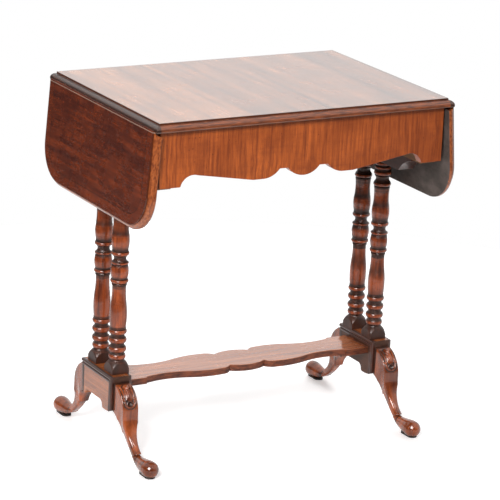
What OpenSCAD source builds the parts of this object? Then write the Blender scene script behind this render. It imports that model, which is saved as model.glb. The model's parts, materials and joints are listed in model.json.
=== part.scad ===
// Drop-leaf occasional table: a moulded top with a hanging leaf at each end,
// shaped aprons, two pairs of turned columns, two blocks on cabriole legs
// and a shaped undershelf. Millimetres, +Z up, X along the table.
// The origin is on the floor, under the middle of the table.

/* [Top and leaves] */
// Height of the top's upper face above the floor
table_h = 720; // [690:1:750]
// Length of the fixed top between the two hinge lines
top_l = 643; // [625:1:675]
// Width of the top's flat field, front to back
field_w = 452; // [440:1:480]
// Thickness of the top and of each leaf
board_t = 17; // [17:0.5:19]
// Radius of the rounded edge moulding and of the rule joint
ovolo_r = 10; // [9.5:0.5:10.5]
// Height of the square step above the rounded edge moulding
fillet_h = 3.5; // [2.5:0.5:3.5]
// Gap between the top's rounded edge and the leaf's hollow
rule_gap = 0.4; // [0.3:0.1:0.7]
// Length of a leaf's flat field, from the hinge line outwards
leaf_l = 198; // [190:1:215]
// Radius of a leaf's outer corners, at the edge of its flat field
leaf_corner_r = 71; // [50:1:80]
// How far the left leaf hangs out from upright, in degrees
left_lean = 4; // [0:0.5:8]
// How far the right leaf hangs out from upright, in degrees
right_lean = 5; // [0:0.5:8]

/* [Leaf hinges] */
// Distance from the flat field's edge to the middle of a hinge
hinge_inset = 76; // [62:1:96]
// Width of a hinge along its pin
hinge_w = 32; // [28:1:38]
// Thickness of the hinge plates
hinge_t = 1.8; // [1.4:0.1:2]
// Length of the plate under the top
top_plate_l = 30; // [26:1:34]
// Length of the plate under the leaf
leaf_plate_l = 48; // [42:1:54]
// Radius of the hinge knuckles
knuckle_r = 3; // [2.8:0.1:3.1]
// Width of the middle knuckle
knuckle_w = 12; // [10:1:14]
// Radius of the hinge pins
hinge_pin_r = 1.25; // [1:0.05:1.4]
// Running clearance round every pin
pin_gap = 0.05; // [0.03:0.01:0.08]

/* [Frame under the top] */
// How far the apron's face stands back from the edge of the flat field
apron_set = 4; // [2:0.5:8]
// Thickness of an apron
apron_t = 20; // [16:1:24]
// Depth of an apron at its ends
apron_h = 112.5; // [100:0.5:116]
// Gap between the frame's ends and a hanging leaf
rail_gap = 2; // [1:0.5:4]
// Length of the flat pad at each end of an apron's lower edge
pad_l = 46; // [38:1:54]
// Rise of the long arches in an apron's lower edge
arch_rise = 22; // [16:1:28]
// Radius at the steep end of a long arch
arch_r = 28.5; // [26:0.5:34]
// Distance from the middle to the foot of a long arch
arch_x = 112; // [104:1:122]
// Radius of the lobe and of the swellings beside it
lobe_r = 44; // [40:1:48]
// Distance from the middle to the top of a swelling
swell_x = 89; // [86:1:94]
// Rise of the small step between lobe and swelling
step_rise = 17.5; // [14:0.5:20]
// Thickness of the inner end rail and of the rail that carries the bracket
rail_t = 18; // [16:1:20]
// Depth of the end rails
rail_h = 120; // [116:1:126]
// Height of the bearer that the columns carry
bearer_h = 33; // [30:1:40]
// Length of that bearer
bearer_l = 340; // [310:1:370]
// Radius of the hollow under each end of the bearer
bearer_cut_r = 68; // [60:1:76]
// Side of the glued blocks in the corners of the frame
corner_block = 32; // [26:1:38]
// Height of the glued blocks
block_h = 60; // [50:1:70]

/* [Fly brackets] */
// Length of a bracket from its pin to its tip
bracket_l = 128; // [110:1:140]
// Thickness of a bracket
bracket_t = 14; // [12:0.5:15]
// Depth of a bracket at its pin
bracket_h = 90; // [80:1:100]
// Depth of a bracket at its tip
bracket_tip_h = 34; // [28:1:40]
// Distance of a bracket's pin from the middle of the rail
bracket_pin_y = 62; // [56:1:70]
// Radius of a bracket's pin
bracket_pin_r = 2.5; // [2:0.1:3]
// Gap round a bracket
bracket_gap = 0.5; // [0.4:0.1:0.8]

/* [Columns] */
// Gap between the columns and a leaf that hangs straight down
col_gap = 0.8; // [0.4:0.1:5.4]
// Distance from the middle to each column, front and back
col_y = 37; // [36:0.5:44]
// Side of the square foot of a column
pommel_w = 37; // [34:0.5:40]
// Radius of the round tenons of a column
tenon_r = 8; // [6:0.5:9]
// Length of those tenons
tenon_l = 20; // [14:1:24]
// Place of the middle rings, as a share of the column's height
mid_share = 0.496; // [0.47:0.002:0.506]

/* [Blocks and legs] */
// Distance of the blocks' middle outwards from the axes of the columns
block_out = 3.5; // [1:0.5:5]
// Height of the block's upper face above the floor
block_z = 165; // [160:1:170]
// Height of the block's underside above the floor
block_under = 101; // [98:1:104]
// Height of the block's front drop above the floor
drop_z = 86; // [83:1:88]
// Length of a block, front to back
block_l = 134; // [130:1:140]
// Thickness of a block between its mouldings
block_t = 34; // [32:0.5:36]
// Length of the block's front drop
drop_l = 49; // [44:1:56]
// Height by which the drop's lower edge rises to the front
drop_rise = 9.5; // [8:0.5:12]
// Projection of the block's reeded mouldings
reed_t = 6.5; // [5.5:0.1:7.5]
// Height of the block's reeded mouldings
reed_h = 16; // [14:0.5:18]
// Projection of the knee in front of the block
knee_out = 45.5; // [44:0.5:48]
// Radius of the knee
knee_r = 50; // [48:0.5:54]
// Thickness of the leg at its ankle
ankle_w = 17; // [15:0.5:20]
// Radius of the round toe
toe_r = 17; // [16:0.5:18]
// Distance from the block to the middle of the toe
toe_out = 136; // [132:1:140]
// Distance from the block to the crease at the ankle
crease_out = 86; // [84:1:88]
// Length of the toe's straight part
toe_l = 6; // [3:1:10]
// Thickness of the pad under each foot
pad_t = 3; // [2:0.5:4]
// Width of the carved lappet on a knee
lappet_w = 25; // [22:0.5:28]
// Height of its carving over the knee
lappet_t = 1.6; // [1.2:0.1:2.2]

/* [Undershelf] */
// Thickness of the undershelf
shelf_t = 14; // [12:0.5:18]
// Height of the undershelf's upper face above the floor
shelf_z = 146; // [142:0.5:147]
// Half width of the undershelf at its ends
shelf_end_y = 42; // [38:0.5:46]
// Length of those wide ends
shelf_end_l = 53; // [46:1:60]
// Half width of the undershelf at its narrow necks
shelf_neck_y = 31; // [28:0.5:34]
// Half width of the undershelf at its swellings
shelf_swell_y = 48; // [45:0.5:52]

/* [Hidden] */
$fn = 64;
// Play between wooden pieces that are glued together
glue_gap = 0.05;
// Depth of cuts that run out of a piece
over = 2;

// Rule joint: the hinge pin is the centre of the rounded edge
pin_drop = ovolo_r + fillet_h;
under = board_t - pin_drop;
pin_x = top_l / 2;
pin_z = table_h - pin_drop;
under_z = table_h - board_t;
half_w = field_w / 2;
leaf_in_x = pin_x - under;

// Hinges
hinge_pitch = field_w - 2 * hinge_inset;
hinge_back = under + 1;
pocket_r = under + 0.4;
side_w = (hinge_w - knuckle_w) / 2;
screw_r = 1.4;
screw_head_r = 2.9;
screw_head_h = 1.5;
screw_l = 12;
// Distance of a plate's outer screws from its end, and from one pair to the next
screw_end = 6;
screw_step = 11;
top_screw_x = [for (i = [0, 1]) top_plate_l - screw_end - i * screw_step];
leaf_screw_x = [for (i = [0 : 2]) leaf_plate_l - screw_end - i * screw_step];

// Frame
rail_x = leaf_in_x - rail_gap;
apron_y = half_w - apron_set;
frame_y = apron_y - apron_t;
apron_z = under_z - apron_h;
rail_z = under_z - rail_h;
bearer_z = rail_z - bearer_h;
fly_in_x = rail_x - rail_t;
inner_x = rail_x - 2 * rail_t;
top_block_x = 120;
top_block = 26;

// Fly bracket
fly_pin_x = fly_in_x + bracket_gap + bracket_t / 2;
bracket_top = under_z - 1;
finger_h = bracket_h / 5;

// Columns, whose widest turning is the swell of the upper vase
vase_end_r = [15.9, 16.5];
vase_swell = 2;
vase_r = (vase_end_r[0] + vase_end_r[1]) / 2 + vase_swell;
col_x = leaf_in_x - col_gap - vase_r;
block_x = col_x + block_out;
col_h = bearer_z - block_z;
bell_z = 8;
mid_z = col_h * mid_share;

// Block and legs
block_y = block_l / 2;
// Rounding of the block's drop, the nib's length and how far it ends above the drop
drop_r = 5;
nib_l = 6;
nib_up = 4;
// The drop's lower edge is flat for a short way and then rises in this arc
bow_y = drop_l - block_y - 2 * drop_r;
bow_under = 0.4;
bow_h = drop_rise + bow_under;
bow_r = (pow(block_y + bow_y, 2) + pow(bow_h, 2)) / (2 * bow_h);
knee_y = block_y + knee_out;
knee_c = [knee_y - knee_r, block_under + 2];
leg_w = block_t;
leg_tenon_t = 10;
leg_tenon_l = 12;
leg_tenon_h = 36;
// Hollow of the shin, which runs down from the front of the knee
sweep_r = 85;
sweep_c = [knee_y + sweep_r, knee_c[1]];
// Hollow of the heel, which ends level with the sole
heel_r = 125;
heel_out = 138;
heel_c = [block_y + heel_out, pad_t + heel_r - 0.5];
// Arch between the block's underside and the back of the leg
arch_c = [block_y - 7, block_under - 43];
leg_arch_r = 36;
toe_y = block_y + toe_out;
toe_z = toe_r - 0.5;
sole_l = 24;
lappet_z = knee_c[1] + 21;
eye_c = [0, knee_c[0] + sqrt(pow(knee_r, 2) - pow(lappet_z - 3 - knee_c[1], 2)), lappet_z - 3];
boss_r = 6.5;
boss_y = block_y + 19;
boss_c = [0, boss_y, knee_c[1] + sqrt(pow(knee_r, 2) - pow(boss_y - knee_c[0], 2)) + 1];

// Undershelf
shelf_x = block_x - block_t / 2;
// Middle lobe: half its length, the rounding of its ends and the bow between them
lobe_x = 62;
lobe_end_r = 26;
lobe_end_in = lobe_end_r + 1;
lobe_bow_x = 40;
lobe_bow_r = shelf_swell_y * 1.6;
lobe_bow_y = shelf_swell_y * 0.95;
swell_at = 82;
neck_at = 185;
shelf_dx = neck_at - swell_at;
shelf_dy = shelf_swell_y - shelf_neck_y;
// Radius of the swelling and of the neck: a hair more than tangent arcs have, so that they cross
shelf_r = 1.002 * (pow(shelf_dx, 2) + pow(shelf_dy, 2)) / (4 * shelf_dy);
shelf_turn = (swell_at + neck_at) / 2;
shelf_tenon = 10;
// Step down from the shelf's face to its tenon, which begins clear of the mouldings
shelf_shoulder = 1.5;
shelf_face_x = shelf_x - reed_t - 0.5;

mahogany = "#7a3a22";
veneer = "#b5552b";
dark = "#4a2318";
pine = "#b98a58";
brass = "#b08d4a";
steel = "#8a8a88";

// Flat outline raised along Y, centred: the outline's x and y become X and Z
module along_y(l) {
  rotate([90, 0, 0])
    linear_extrude(l, center = true) children();
}

// Flat outline raised along X, centred: the outline's x and y become Y and Z
module along_x(l) {
  rotate([90, 0, 90])
    linear_extrude(l, center = true) children();
}

// The right half's pieces are drawn; the left ones are their mirror images
module on_left() {
  mirror([1, 0, 0]) children();
}

module on_back() {
  mirror([0, 1, 0]) children();
}

// Wood screw pointing up, with its head flush at z = 0
module screw(l = screw_l, r = screw_r, head_r = screw_head_r, head_h = screw_head_h, play = 0) {
  cylinder(r1 = head_r, r2 = r, h = head_h);
  cylinder(r = r, h = l + play);
}

// Edge moulding: a quarter round from the fillet line outwards, down to the underside
module ovolo_2d() {
  intersection() {
    circle(r = ovolo_r, $fn = 96);
    translate([0, -under]) square([ovolo_r + over, board_t]);
  }
}

module board_2d(half) {
  translate([-half, -under]) square([2 * half, board_t]);
  for (s = [0, 1])
    mirror([s, 0]) translate([half, 0]) ovolo_2d();
}

// Places of the hinges along a leaf's joint
module at_hinges() {
  for (s = [-1, 1])
    translate([0, s * hinge_pitch / 2, 0]) children();
}

module hinge_screws_up(places) {
  for (u = places, s = [-1, 1])
    translate([u, s * hinge_w / 4, -under]) children();
}

// Room for a hinge in the underside of the top, at the pin
module top_hinge_cut() {
  w = hinge_w + 2 * pin_gap;
  translate([-top_plate_l, -w / 2, -under - over]) cube([top_plate_l, w, hinge_t + over]);
  rotate([90, 0, 0]) cylinder(r = pocket_r, h = w + 0.8, center = true);
  translate([-pocket_r, -w / 2 - 0.4, -under - over]) cube([pocket_r, w + 0.8, under + over]);
  translate([0, -w / 2 - 0.4, -under - over]) cube([ovolo_r + over, w + 0.8, hinge_t + over + 0.5]);
  mirror([1, 0, 0]) hinge_screws_up(top_screw_x) screw(play = 0.2);
}

module tabletop() {
  color(mahogany) difference() {
    translate([0, 0, pin_z]) difference() {
      intersection() {
        along_y(field_w + 2 * ovolo_r) board_2d(pin_x);
        along_x(top_l + 2 * ovolo_r) board_2d(half_w);
      }
      for (m = [0, 1])
        mirror([m, 0, 0]) translate([pin_x, 0, 0]) at_hinges() top_hinge_cut();
    }
    top_screw_places() screw(l = block_h + 9, r = 2, head_r = 4, head_h = 3, play = 0.2);
  }
}

// Leaf in its raised place, with the hinge pin at the origin and X outwards
module leaf_raised() {
  c = leaf_corner_r;
  difference() {
    union() {
      translate([0, 0, -under]) linear_extrude(board_t) {
        translate([0, -half_w]) square([leaf_l - c, field_w]);
        translate([0, -half_w + c]) square([leaf_l, field_w - 2 * c]);
        for (s = [-1, 1])
          translate([leaf_l - c, s * (half_w - c)]) circle(r = c, $fn = 180);
      }
      for (m = [0, 1])
        mirror([0, m, 0]) {
          translate([0, half_w, 0]) rotate([90, 0, 90]) linear_extrude(leaf_l - c) ovolo_2d();
          translate([leaf_l - c, half_w - c, 0]) rotate_extrude(angle = 90, $fn = 180)
              translate([c, 0]) ovolo_2d();
        }
      translate([leaf_l, 0, 0]) along_y(field_w - 2 * c) ovolo_2d();
    }
    rotate([90, 0, 0]) cylinder(r = ovolo_r + rule_gap, h = field_w + 4 * ovolo_r, center = true, $fn = 96);
    translate([-over, -half_w - 2 * ovolo_r, -board_t])
      cube([over + rule_gap, field_w + 4 * ovolo_r, 2 * board_t]);
    at_hinges() {
      w = hinge_w + 2 * pin_gap;
      translate([0, -w / 2, -under - over]) cube([leaf_plate_l, w, hinge_t + over]);
      hinge_screws_up(leaf_screw_x) screw(play = 0.2);
    }
  }
}

// What moves with the right leaf, turned down about its pin until it hangs
module hung(lean) {
  translate([pin_x, 0, pin_z]) rotate([0, 90 - lean, 0]) children();
}

module right_leaf(lean = right_lean) {
  color(mahogany) hung(lean) leaf_raised();
}

module left_leaf() {
  on_left() right_leaf(left_lean);
}

// Knuckles and plates of a hinge, with the pin at the origin and X outwards
module pin_hole() {
  rotate([90, 0, 0]) cylinder(r = hinge_pin_r + pin_gap, h = hinge_w + over, center = true);
}

module knuckle(w) {
  rotate([90, 0, 0]) cylinder(r = knuckle_r, h = w, center = true);
}

module top_plate() {
  w = knuckle_w - 4 * pin_gap;
  color(brass) difference() {
    union() {
      translate([-top_plate_l, -hinge_w / 2, -under])
        cube([top_plate_l - hinge_back, hinge_w, hinge_t]);
      translate([-hinge_back - 1, -w / 2, -under]) cube([hinge_back + 1, w, hinge_t]);
      knuckle(w);
    }
    pin_hole();
    mirror([1, 0, 0]) hinge_screws_up(top_screw_x) screw();
  }
}

module leaf_plate() {
  w = side_w - 2 * pin_gap;
  color(brass) difference() {
    union() {
      translate([hinge_back, -hinge_w / 2, -under])
        cube([leaf_plate_l - hinge_back, hinge_w, hinge_t]);
      for (s = [-1, 1])
        translate([0, s * (hinge_w - w) / 2, 0]) {
          translate([0, -w / 2, -under]) cube([hinge_back + 1, w, hinge_t]);
          knuckle(w);
        }
    }
    pin_hole();
    hinge_screws_up(leaf_screw_x) screw();
  }
}

module hinge_plate_front_right() {
  translate([pin_x, -hinge_pitch / 2, pin_z]) top_plate();
}

module hinge_plate_back_right() {
  on_back() hinge_plate_front_right();
}

module hinge_plate_front_left() {
  on_left() hinge_plate_front_right();
}

module hinge_plate_back_left() {
  on_left() hinge_plate_back_right();
}

module leaf_plate_front_right(lean = right_lean) {
  hung(lean) translate([0, -hinge_pitch / 2, 0]) leaf_plate();
}

module leaf_plate_back_right(lean = right_lean) {
  on_back() leaf_plate_front_right(lean);
}

module leaf_plate_front_left() {
  on_left() leaf_plate_front_right(left_lean);
}

module leaf_plate_back_left() {
  on_left() leaf_plate_back_right(left_lean);
}

module hinge_pins_right() {
  color(steel) translate([pin_x, 0, pin_z]) at_hinges()
        rotate([90, 0, 0]) cylinder(r = hinge_pin_r, h = hinge_w, center = true);
}

module hinge_pins_left() {
  on_left() hinge_pins_right();
}

module hinge_screws() {
  color(steel) for (m = [0, 1])
      mirror([m, 0, 0]) translate([pin_x, 0, pin_z]) at_hinges()
            mirror([1, 0, 0]) hinge_screws_up(top_screw_x) screw();
}

module right_leaf_screws(lean = right_lean) {
  color(steel) hung(lean) at_hinges() hinge_screws_up(leaf_screw_x) screw();
}

module left_leaf_screws() {
  on_left() right_leaf_screws(left_lean);
}

// One half of the openings in an apron's lower edge
module apron_cut_2d() {
  arch_c = rail_x - pad_l - sqrt(pow(arch_r, 2) - pow(arch_r - arch_rise, 2));
  translate([arch_c, arch_rise - arch_r]) circle(r = arch_r, $fn = 128);
  polygon([
    [arch_c, arch_rise], [arch_x, 0], [arch_x, -over], [arch_c, -over]
  ]);
  difference() {
    translate([0, -over]) square([swell_x, step_rise + over]);
    translate([0, lobe_r]) circle(r = lobe_r, $fn = 180);
    translate([swell_x, lobe_r]) circle(r = lobe_r, $fn = 180);
  }
}

module front_apron() {
  color(veneer) translate([0, -apron_y + apron_t / 2, apron_z]) along_y(apron_t)
      difference() {
        translate([-rail_x, 0]) square([2 * rail_x, apron_h]);
        for (m = [0, 1])
          mirror([m, 0]) apron_cut_2d();
      }
}

module back_apron() {
  on_back() front_apron();
}

module right_inner_rail() {
  color(pine) translate([inner_x, -frame_y, rail_z]) cube([rail_t, 2 * frame_y, rail_h]);
}

module left_inner_rail() {
  on_left() right_inner_rail();
}

// Knuckles of the bracket joint: fingers 0, 2 and 4 are fixed, 1 and 3 move
module fingers(list, play) {
  for (i = list)
    translate([fly_pin_x, bracket_pin_y, bracket_top - bracket_h + i * finger_h + play])
      children();
}

module finger(play, reach) {
  h = finger_h - 2 * play;
  cylinder(r = bracket_t / 2, h = h);
  translate([-bracket_t / 2, min(0, reach), 0]) cube([bracket_t, abs(reach), h]);
}

module bracket_pin_hole() {
  translate([fly_pin_x, bracket_pin_y, bracket_top - bracket_h - over])
    cylinder(r = bracket_pin_r + pin_gap, h = bracket_h + 2 * over);
}

module right_fly_rail_back() {
  start = bracket_pin_y + bracket_t / 2 + bracket_gap;
  color(pine) difference() {
    union() {
      translate([fly_in_x, start, rail_z]) cube([rail_t, frame_y - start, rail_h]);
      fingers([0, 2, 4], 0) finger(0, bracket_t / 2 + bracket_gap + 1);
    }
    bracket_pin_hole();
  }
}

module right_fly_rail_front() {
  tip = bracket_pin_y - bracket_l - 3 * bracket_gap;
  color(pine) translate([fly_in_x, -frame_y, rail_z]) cube([rail_t, frame_y + tip, rail_h]);
}

module right_fly_bracket() {
  tip = bracket_pin_y - bracket_l;
  root = bracket_pin_y - bracket_t / 2 - bracket_gap;
  drop = bracket_h - bracket_tip_h;
  color(pine) difference() {
    union() {
      translate([fly_pin_x, 0, bracket_top]) along_x(bracket_t)
          difference() {
            translate([tip, -bracket_h]) square([root - tip, bracket_h]);
            translate([tip - over, -bracket_h - over]) square([over + 20, drop + over]);
            translate([tip + 20, -bracket_h]) circle(r = drop, $fn = 128);
          }
      fingers([1, 3], bracket_gap / 2) finger(bracket_gap / 2, -bracket_t / 2 - bracket_gap - 1);
    }
    bracket_pin_hole();
  }
}

module right_bracket_pin() {
  color(steel) translate([fly_pin_x, bracket_pin_y, bracket_top - bracket_h])
      cylinder(r = bracket_pin_r, h = bracket_h);
}

module left_fly_rail_back() {
  on_left() right_fly_rail_back();
}

module left_fly_rail_front() {
  on_left() right_fly_rail_front();
}

module left_fly_bracket() {
  on_left() right_fly_bracket();
}

module left_bracket_pin() {
  on_left() right_bracket_pin();
}

// Bearer under the end rails, hollowed under its ends, with bores for two columns
module right_column_bearer() {
  end = bearer_l / 2;
  color(mahogany) difference() {
    translate([rail_x - rail_t, 0, bearer_z]) along_x(2 * rail_t)
        difference() {
          translate([-end, 0]) square([bearer_l, bearer_h]);
          for (m = [0, 1])
            mirror([m, 0]) translate([end + 10, -bearer_h - 5]) circle(r = bearer_cut_r, $fn = 180);
        }
    for (s = [-1, 1])
      translate([col_x, s * col_y, bearer_z - over])
        cylinder(r = tenon_r + glue_gap, h = tenon_l + over + 0.5);
  }
}

module left_column_bearer() {
  on_left() right_column_bearer();
}

module corner_blocks() {
  color(pine) for (a = [0, 1], b = [0, 1])
      mirror([a, 0, 0]) mirror([0, b, 0])
          translate([inner_x, frame_y, under_z - block_h]) linear_extrude(block_h)
              polygon([[0, 0], [-corner_block, 0], [0, -corner_block]]);
}

module at_top_blocks() {
  for (a = [-1, 1], b = [-1, 1])
    translate([a * top_block_x, b * (frame_y - top_block / 2), 0]) children();
}

module top_screw_places() {
  at_top_blocks() translate([0, 0, under_z - block_h]) children();
}

module top_blocks() {
  color(pine) difference() {
    at_top_blocks() translate([-top_block / 2, -top_block / 2, under_z - block_h])
        cube([top_block, top_block, block_h]);
    top_screw_places() screw(l = block_h + 9, r = 2, head_r = 4, head_h = 3);
  }
}

module top_screws() {
  color(steel) top_screw_places() screw(l = block_h + 9, r = 2, head_r = 4, head_h = 3);
}

// Turned outline between two heights: s is the bulge, negative for a hollow
module turning_2d(z0, r0, z1, r1, s) {
  c = norm([r1 - r0, z1 - z0]);
  n = [z1 - z0, r0 - r1] / c;
  mid = [r0 + r1, z0 + z1] / 2;
  if (s == 0) {
    polygon([[0, z0], [r0, z0], [r1, z1], [0, z1]]);
  } else if (s > 0) {
    big = c * c / (8 * s) + s / 2;
    polygon([[0, z0], [r0, z0], [r1, z1], [0, z1]]);
    intersection() {
      translate(mid + n * (s - big)) circle(r = big, $fn = 256);
      polygon([[r0, z0], [r0 + 2 * s + 9, z0], [r1 + 2 * s + 9, z1], [r1, z1]]);
    }
  } else {
    big = -c * c / (8 * s) - s / 2;
    difference() {
      polygon([[0, z0], [r0, z0], [r1, z1], [0, z1]]);
      translate(mid + n * (s + big)) circle(r = big, $fn = 256);
    }
  }
}

// Heights and radii of a column's turnings from the square foot up, and the bulge
// from each to the next. The rings at the foot, the middle and the head keep their
// shape; the two vases between them take up a change of height.
function turnings() = let(m = mid_z, t = col_h) [
  [26, 14.4, 0], [27.5, 13.9, 3.3], [40.5, 13.9, 0], [43.1, 13.8, 4.5], [56.5, 13.8, 0],
  [61.5, 13.4, 4.9], [75.5, 13.4, 0], [80.5, 14.1, 4.2], [92, 14.1, 0], [92.1, 16.4, 0],
  [95, 16.4, 0], [95.1, 15.9, 1.5], [0.6 * 95 + 0.4 * m + 9, 16.1, -0.7], [m - 9, 13.9, 0],
  [m - 8.9, 15.2, 0], [m - 6, 15.2, 0], [m - 4.5, 14.2, 4], [m + 4, 14.2, 0],
  [m + 4.1, 15.6, 2.5], [m + 34, 15.6, 0], [m + 34.6, 15.8, 2], [m + 39, 15.8, 0],
  [m + 39.5, 15, -2.6], [m + 52, 14.8, 0], [m + 52.1, 14.6, 3.7], [m + 61, 14.6, 0],
  [m + 61.1, 16.3, 0], [m + 64, 16.3, 0], [m + 64.1, vase_end_r[0], vase_swell],
  [(m + t) / 2 + 1, vase_end_r[1], -0.9],
  [t - 61, 16, 0], [t - 60.9, 16.4, 0], [t - 58, 16.4, 0], [t - 57, 14.6, 3.7],
  [t - 47.5, 14.6, 0], [t - 47.4, 16.5, -3], [t - 34.5, 16.5, 0], [t - 34, 14.6, 3.7],
  [t - 23, 14.6, 0], [t - 20.5, 14.6, 2.9], [t - 13.5, 14.6, 0], [t - 12, 14.6, 2.9],
  [t - 4, 14.6, 0], [t - 3.9, 15.5, 0], [t, 15.5, 0]
];

module column_2d() {
  list = turnings();
  bell = pommel_w * 0.72;
  translate([0, -tenon_l]) square([tenon_r, col_h + 2 * tenon_l]);
  square([bell, bell_z]);
  turning_2d(bell_z, bell, 24, 16.6, 1.4);
  turning_2d(24, 16.6, 26, 14.4, 0);
  for (i = [0 : len(list) - 2])
    turning_2d(list[i][0], list[i][1], list[i + 1][0], list[i + 1][1], list[i][2]);
}

// Column turned from a square bar, whose faces are left at the foot
module column() {
  h = col_h + 2 * tenon_l + 2;
  color(mahogany) translate([col_x, col_y, block_z])
      intersection() {
        rotate_extrude($fn = 96) column_2d();
        translate([-pommel_w / 2, -pommel_w / 2, -tenon_l - 1]) cube([pommel_w, pommel_w, h]);
      }
}

module column_back_right() {
  column();
}

module column_front_right() {
  on_back() column();
}

module column_back_left() {
  on_left() column();
}

module column_front_left() {
  on_left() on_back() column();
}

// Side outline of a block: front is towards negative y. A rounded drop in front
// and a nib behind, each with a hollow that runs up to the underside.
module block_2d() {
  cove = block_under - drop_z - nib_up;
  intersection() {
    translate([-block_y, drop_z]) square([block_l, block_z - drop_z]);
    union() {
      translate([bow_y, drop_z - bow_under + bow_r]) circle(r = bow_r, $fn = 256);
      translate([bow_y, drop_z]) square([block_l, block_z - drop_z]);
    }
    union() {
      translate([-block_y, block_under]) square([block_l, block_z - block_under]);
      translate([-block_y, drop_z + drop_r]) square([drop_l, block_under - drop_z]);
      translate([-block_y, drop_z]) square([drop_l - drop_r, block_under - drop_z]);
      translate([drop_l - block_y - drop_r, drop_z + drop_r]) circle(r = drop_r);
      difference() {
        translate([drop_l - block_y - 1, block_under - cove]) square([cove + 1, cove + 1]);
        translate([drop_l - block_y + cove, block_under - cove]) circle(r = cove);
      }
      difference() {
        translate([block_y - nib_l - cove, block_under - cove]) square([nib_l + cove, cove + 1]);
        translate([block_y - nib_l - cove, block_under - cove]) circle(r = cove);
      }
    }
  }
}

module right_block() {
  color(mahogany) difference() {
    translate([block_x, 0, 0]) along_x(block_t) block_2d();
    for (s = [-1, 1])
      translate([col_x, s * col_y, block_z - tenon_l - 0.5])
        cylinder(r = tenon_r + glue_gap, h = tenon_l + over);
    for (m = [0, 1])
      mirror([0, m, 0]) leg_tenon(glue_gap);
    translate([shelf_x - over, -shelf_neck_y, shelf_z - shelf_t])
      cube([shelf_tenon + over + 0.5, 2 * shelf_neck_y, shelf_t - shelf_shoulder]);
  }
}

module left_block() {
  on_left() right_block();
}

// Section of the reeded moulding: x is its projection, y = 0 its upper edge
module reeds_2d() {
  big = reed_h * 0.23;
  small = reed_h * 0.19;
  groove = reed_h * 0.04;
  small_y = 2 * big + small + groove;
  intersection() {
    translate([0, -reed_h]) square([reed_t, reed_h]);
    union() {
      translate([0, -reed_h]) square([reed_t * 0.2, reed_h]);
      translate([0, -2 * big]) square([reed_t - big, 2 * big]);
      translate([reed_t - big, -big]) circle(r = big);
      translate([reed_t * 0.8 - small, -small_y]) circle(r = small);
    }
  }
}

// Moulding along the top of a block's side and down its front edge, mitred
module block_moulding() {
  run = block_z - drop_z;
  mitre = reed_h + 1;
  color(dark) intersection() {
    along_x(block_l) block_2d();
    translate([block_t / 2, 0, block_z]) {
      intersection() {
        along_y(block_l) reeds_2d();
        along_x(4 * reed_t) polygon([
          [-block_y, 0], [mitre - block_y, -mitre], [block_y, -mitre], [block_y, 0]
        ]);
      }
      intersection() {
        translate([0, -block_y, -run]) linear_extrude(run) mirror([0, 1]) reeds_2d();
        along_x(4 * reed_t) polygon([
          [-block_y, 0], [mitre - block_y, -mitre], [mitre - block_y, -run], [-block_y, -run]
        ]);
      }
    }
  }
}

module right_block_outer_moulding() {
  translate([block_x, 0, 0]) block_moulding();
}

module right_block_inner_moulding() {
  translate([block_x, 0, 0]) mirror([1, 0, 0]) block_moulding();
}

module left_block_outer_moulding() {
  on_left() right_block_outer_moulding();
}

module left_block_inner_moulding() {
  on_left() right_block_inner_moulding();
}

module leg_tenon(play) {
  translate([block_x - leg_tenon_t / 2 - play, block_y - leg_tenon_l - play, block_under + 8 - play])
    cube([leg_tenon_t + 2 * play, leg_tenon_l + 2 * play, leg_tenon_h + 2 * play]);
}

// Side outline of a back leg: y outwards from the block, then z
module leg_side_2d() {
  intersection() {
    union() {
      translate(heel_c) circle(r = heel_r, $fn = 256);
      difference() {
        translate([block_y, arch_c[1] + leg_arch_r / 2]) square([leg_arch_r - 9, leg_arch_r]);
        translate(arch_c) circle(r = leg_arch_r, $fn = 128);
      }
    }
    union() {
      intersection() {
        translate(knee_c) circle(r = knee_r, $fn = 180);
        translate([block_y, knee_c[1] - 1]) square([knee_out + 1, knee_r + 2]);
      }
      difference() {
        translate([block_y, pad_t]) square([crease_out, knee_c[1] - pad_t]);
        translate(sweep_c) circle(r = sweep_r, $fn = 256);
      }
    }
  }
}

// Front outline of a leg: parallel sides above, hollowed down to the ankle
module leg_front_2d() {
  h = block_under - 47;
  bite = (leg_w - ankle_w) / 2;
  r = (h * h + bite * bite) / (2 * bite);
  difference() {
    translate([-leg_w / 2, pad_t]) square([leg_w, block_z]);
    for (s = [-1, 1])
      translate([s * (ankle_w / 2 + r), 30]) circle(r = r, $fn = 256);
  }
}

// Round toe on a level axis along the foot: a ball, drawn out towards the heel,
// and the cone that touches it and ends at the ankle's crease
module toe() {
  neck = ankle_w / 2 + 1.5;
  run = toe_out - toe_l - crease_out;
  slope = asin(toe_r / norm([run, neck])) - atan2(neck, run);
  intersection() {
    translate([0, toe_y, toe_z]) rotate([90, 0, 0]) {
      sphere(r = toe_r, $fn = 96);
      cylinder(r = toe_r, h = toe_l, $fn = 96);
      translate([0, 0, toe_l]) {
        sphere(r = toe_r, $fn = 96);
        translate([0, 0, toe_r * sin(slope)])
          cylinder(r1 = toe_r * cos(slope), r2 = neck, h = run - toe_r * sin(slope), $fn = 96);
      }
    }
    translate([-leg_w, block_y + crease_out, pad_t]) cube([2 * leg_w, toe_out, 2 * toe_r]);
    along_x(3 * leg_w) translate(heel_c) circle(r = heel_r, $fn = 256);
  }
}

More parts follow.
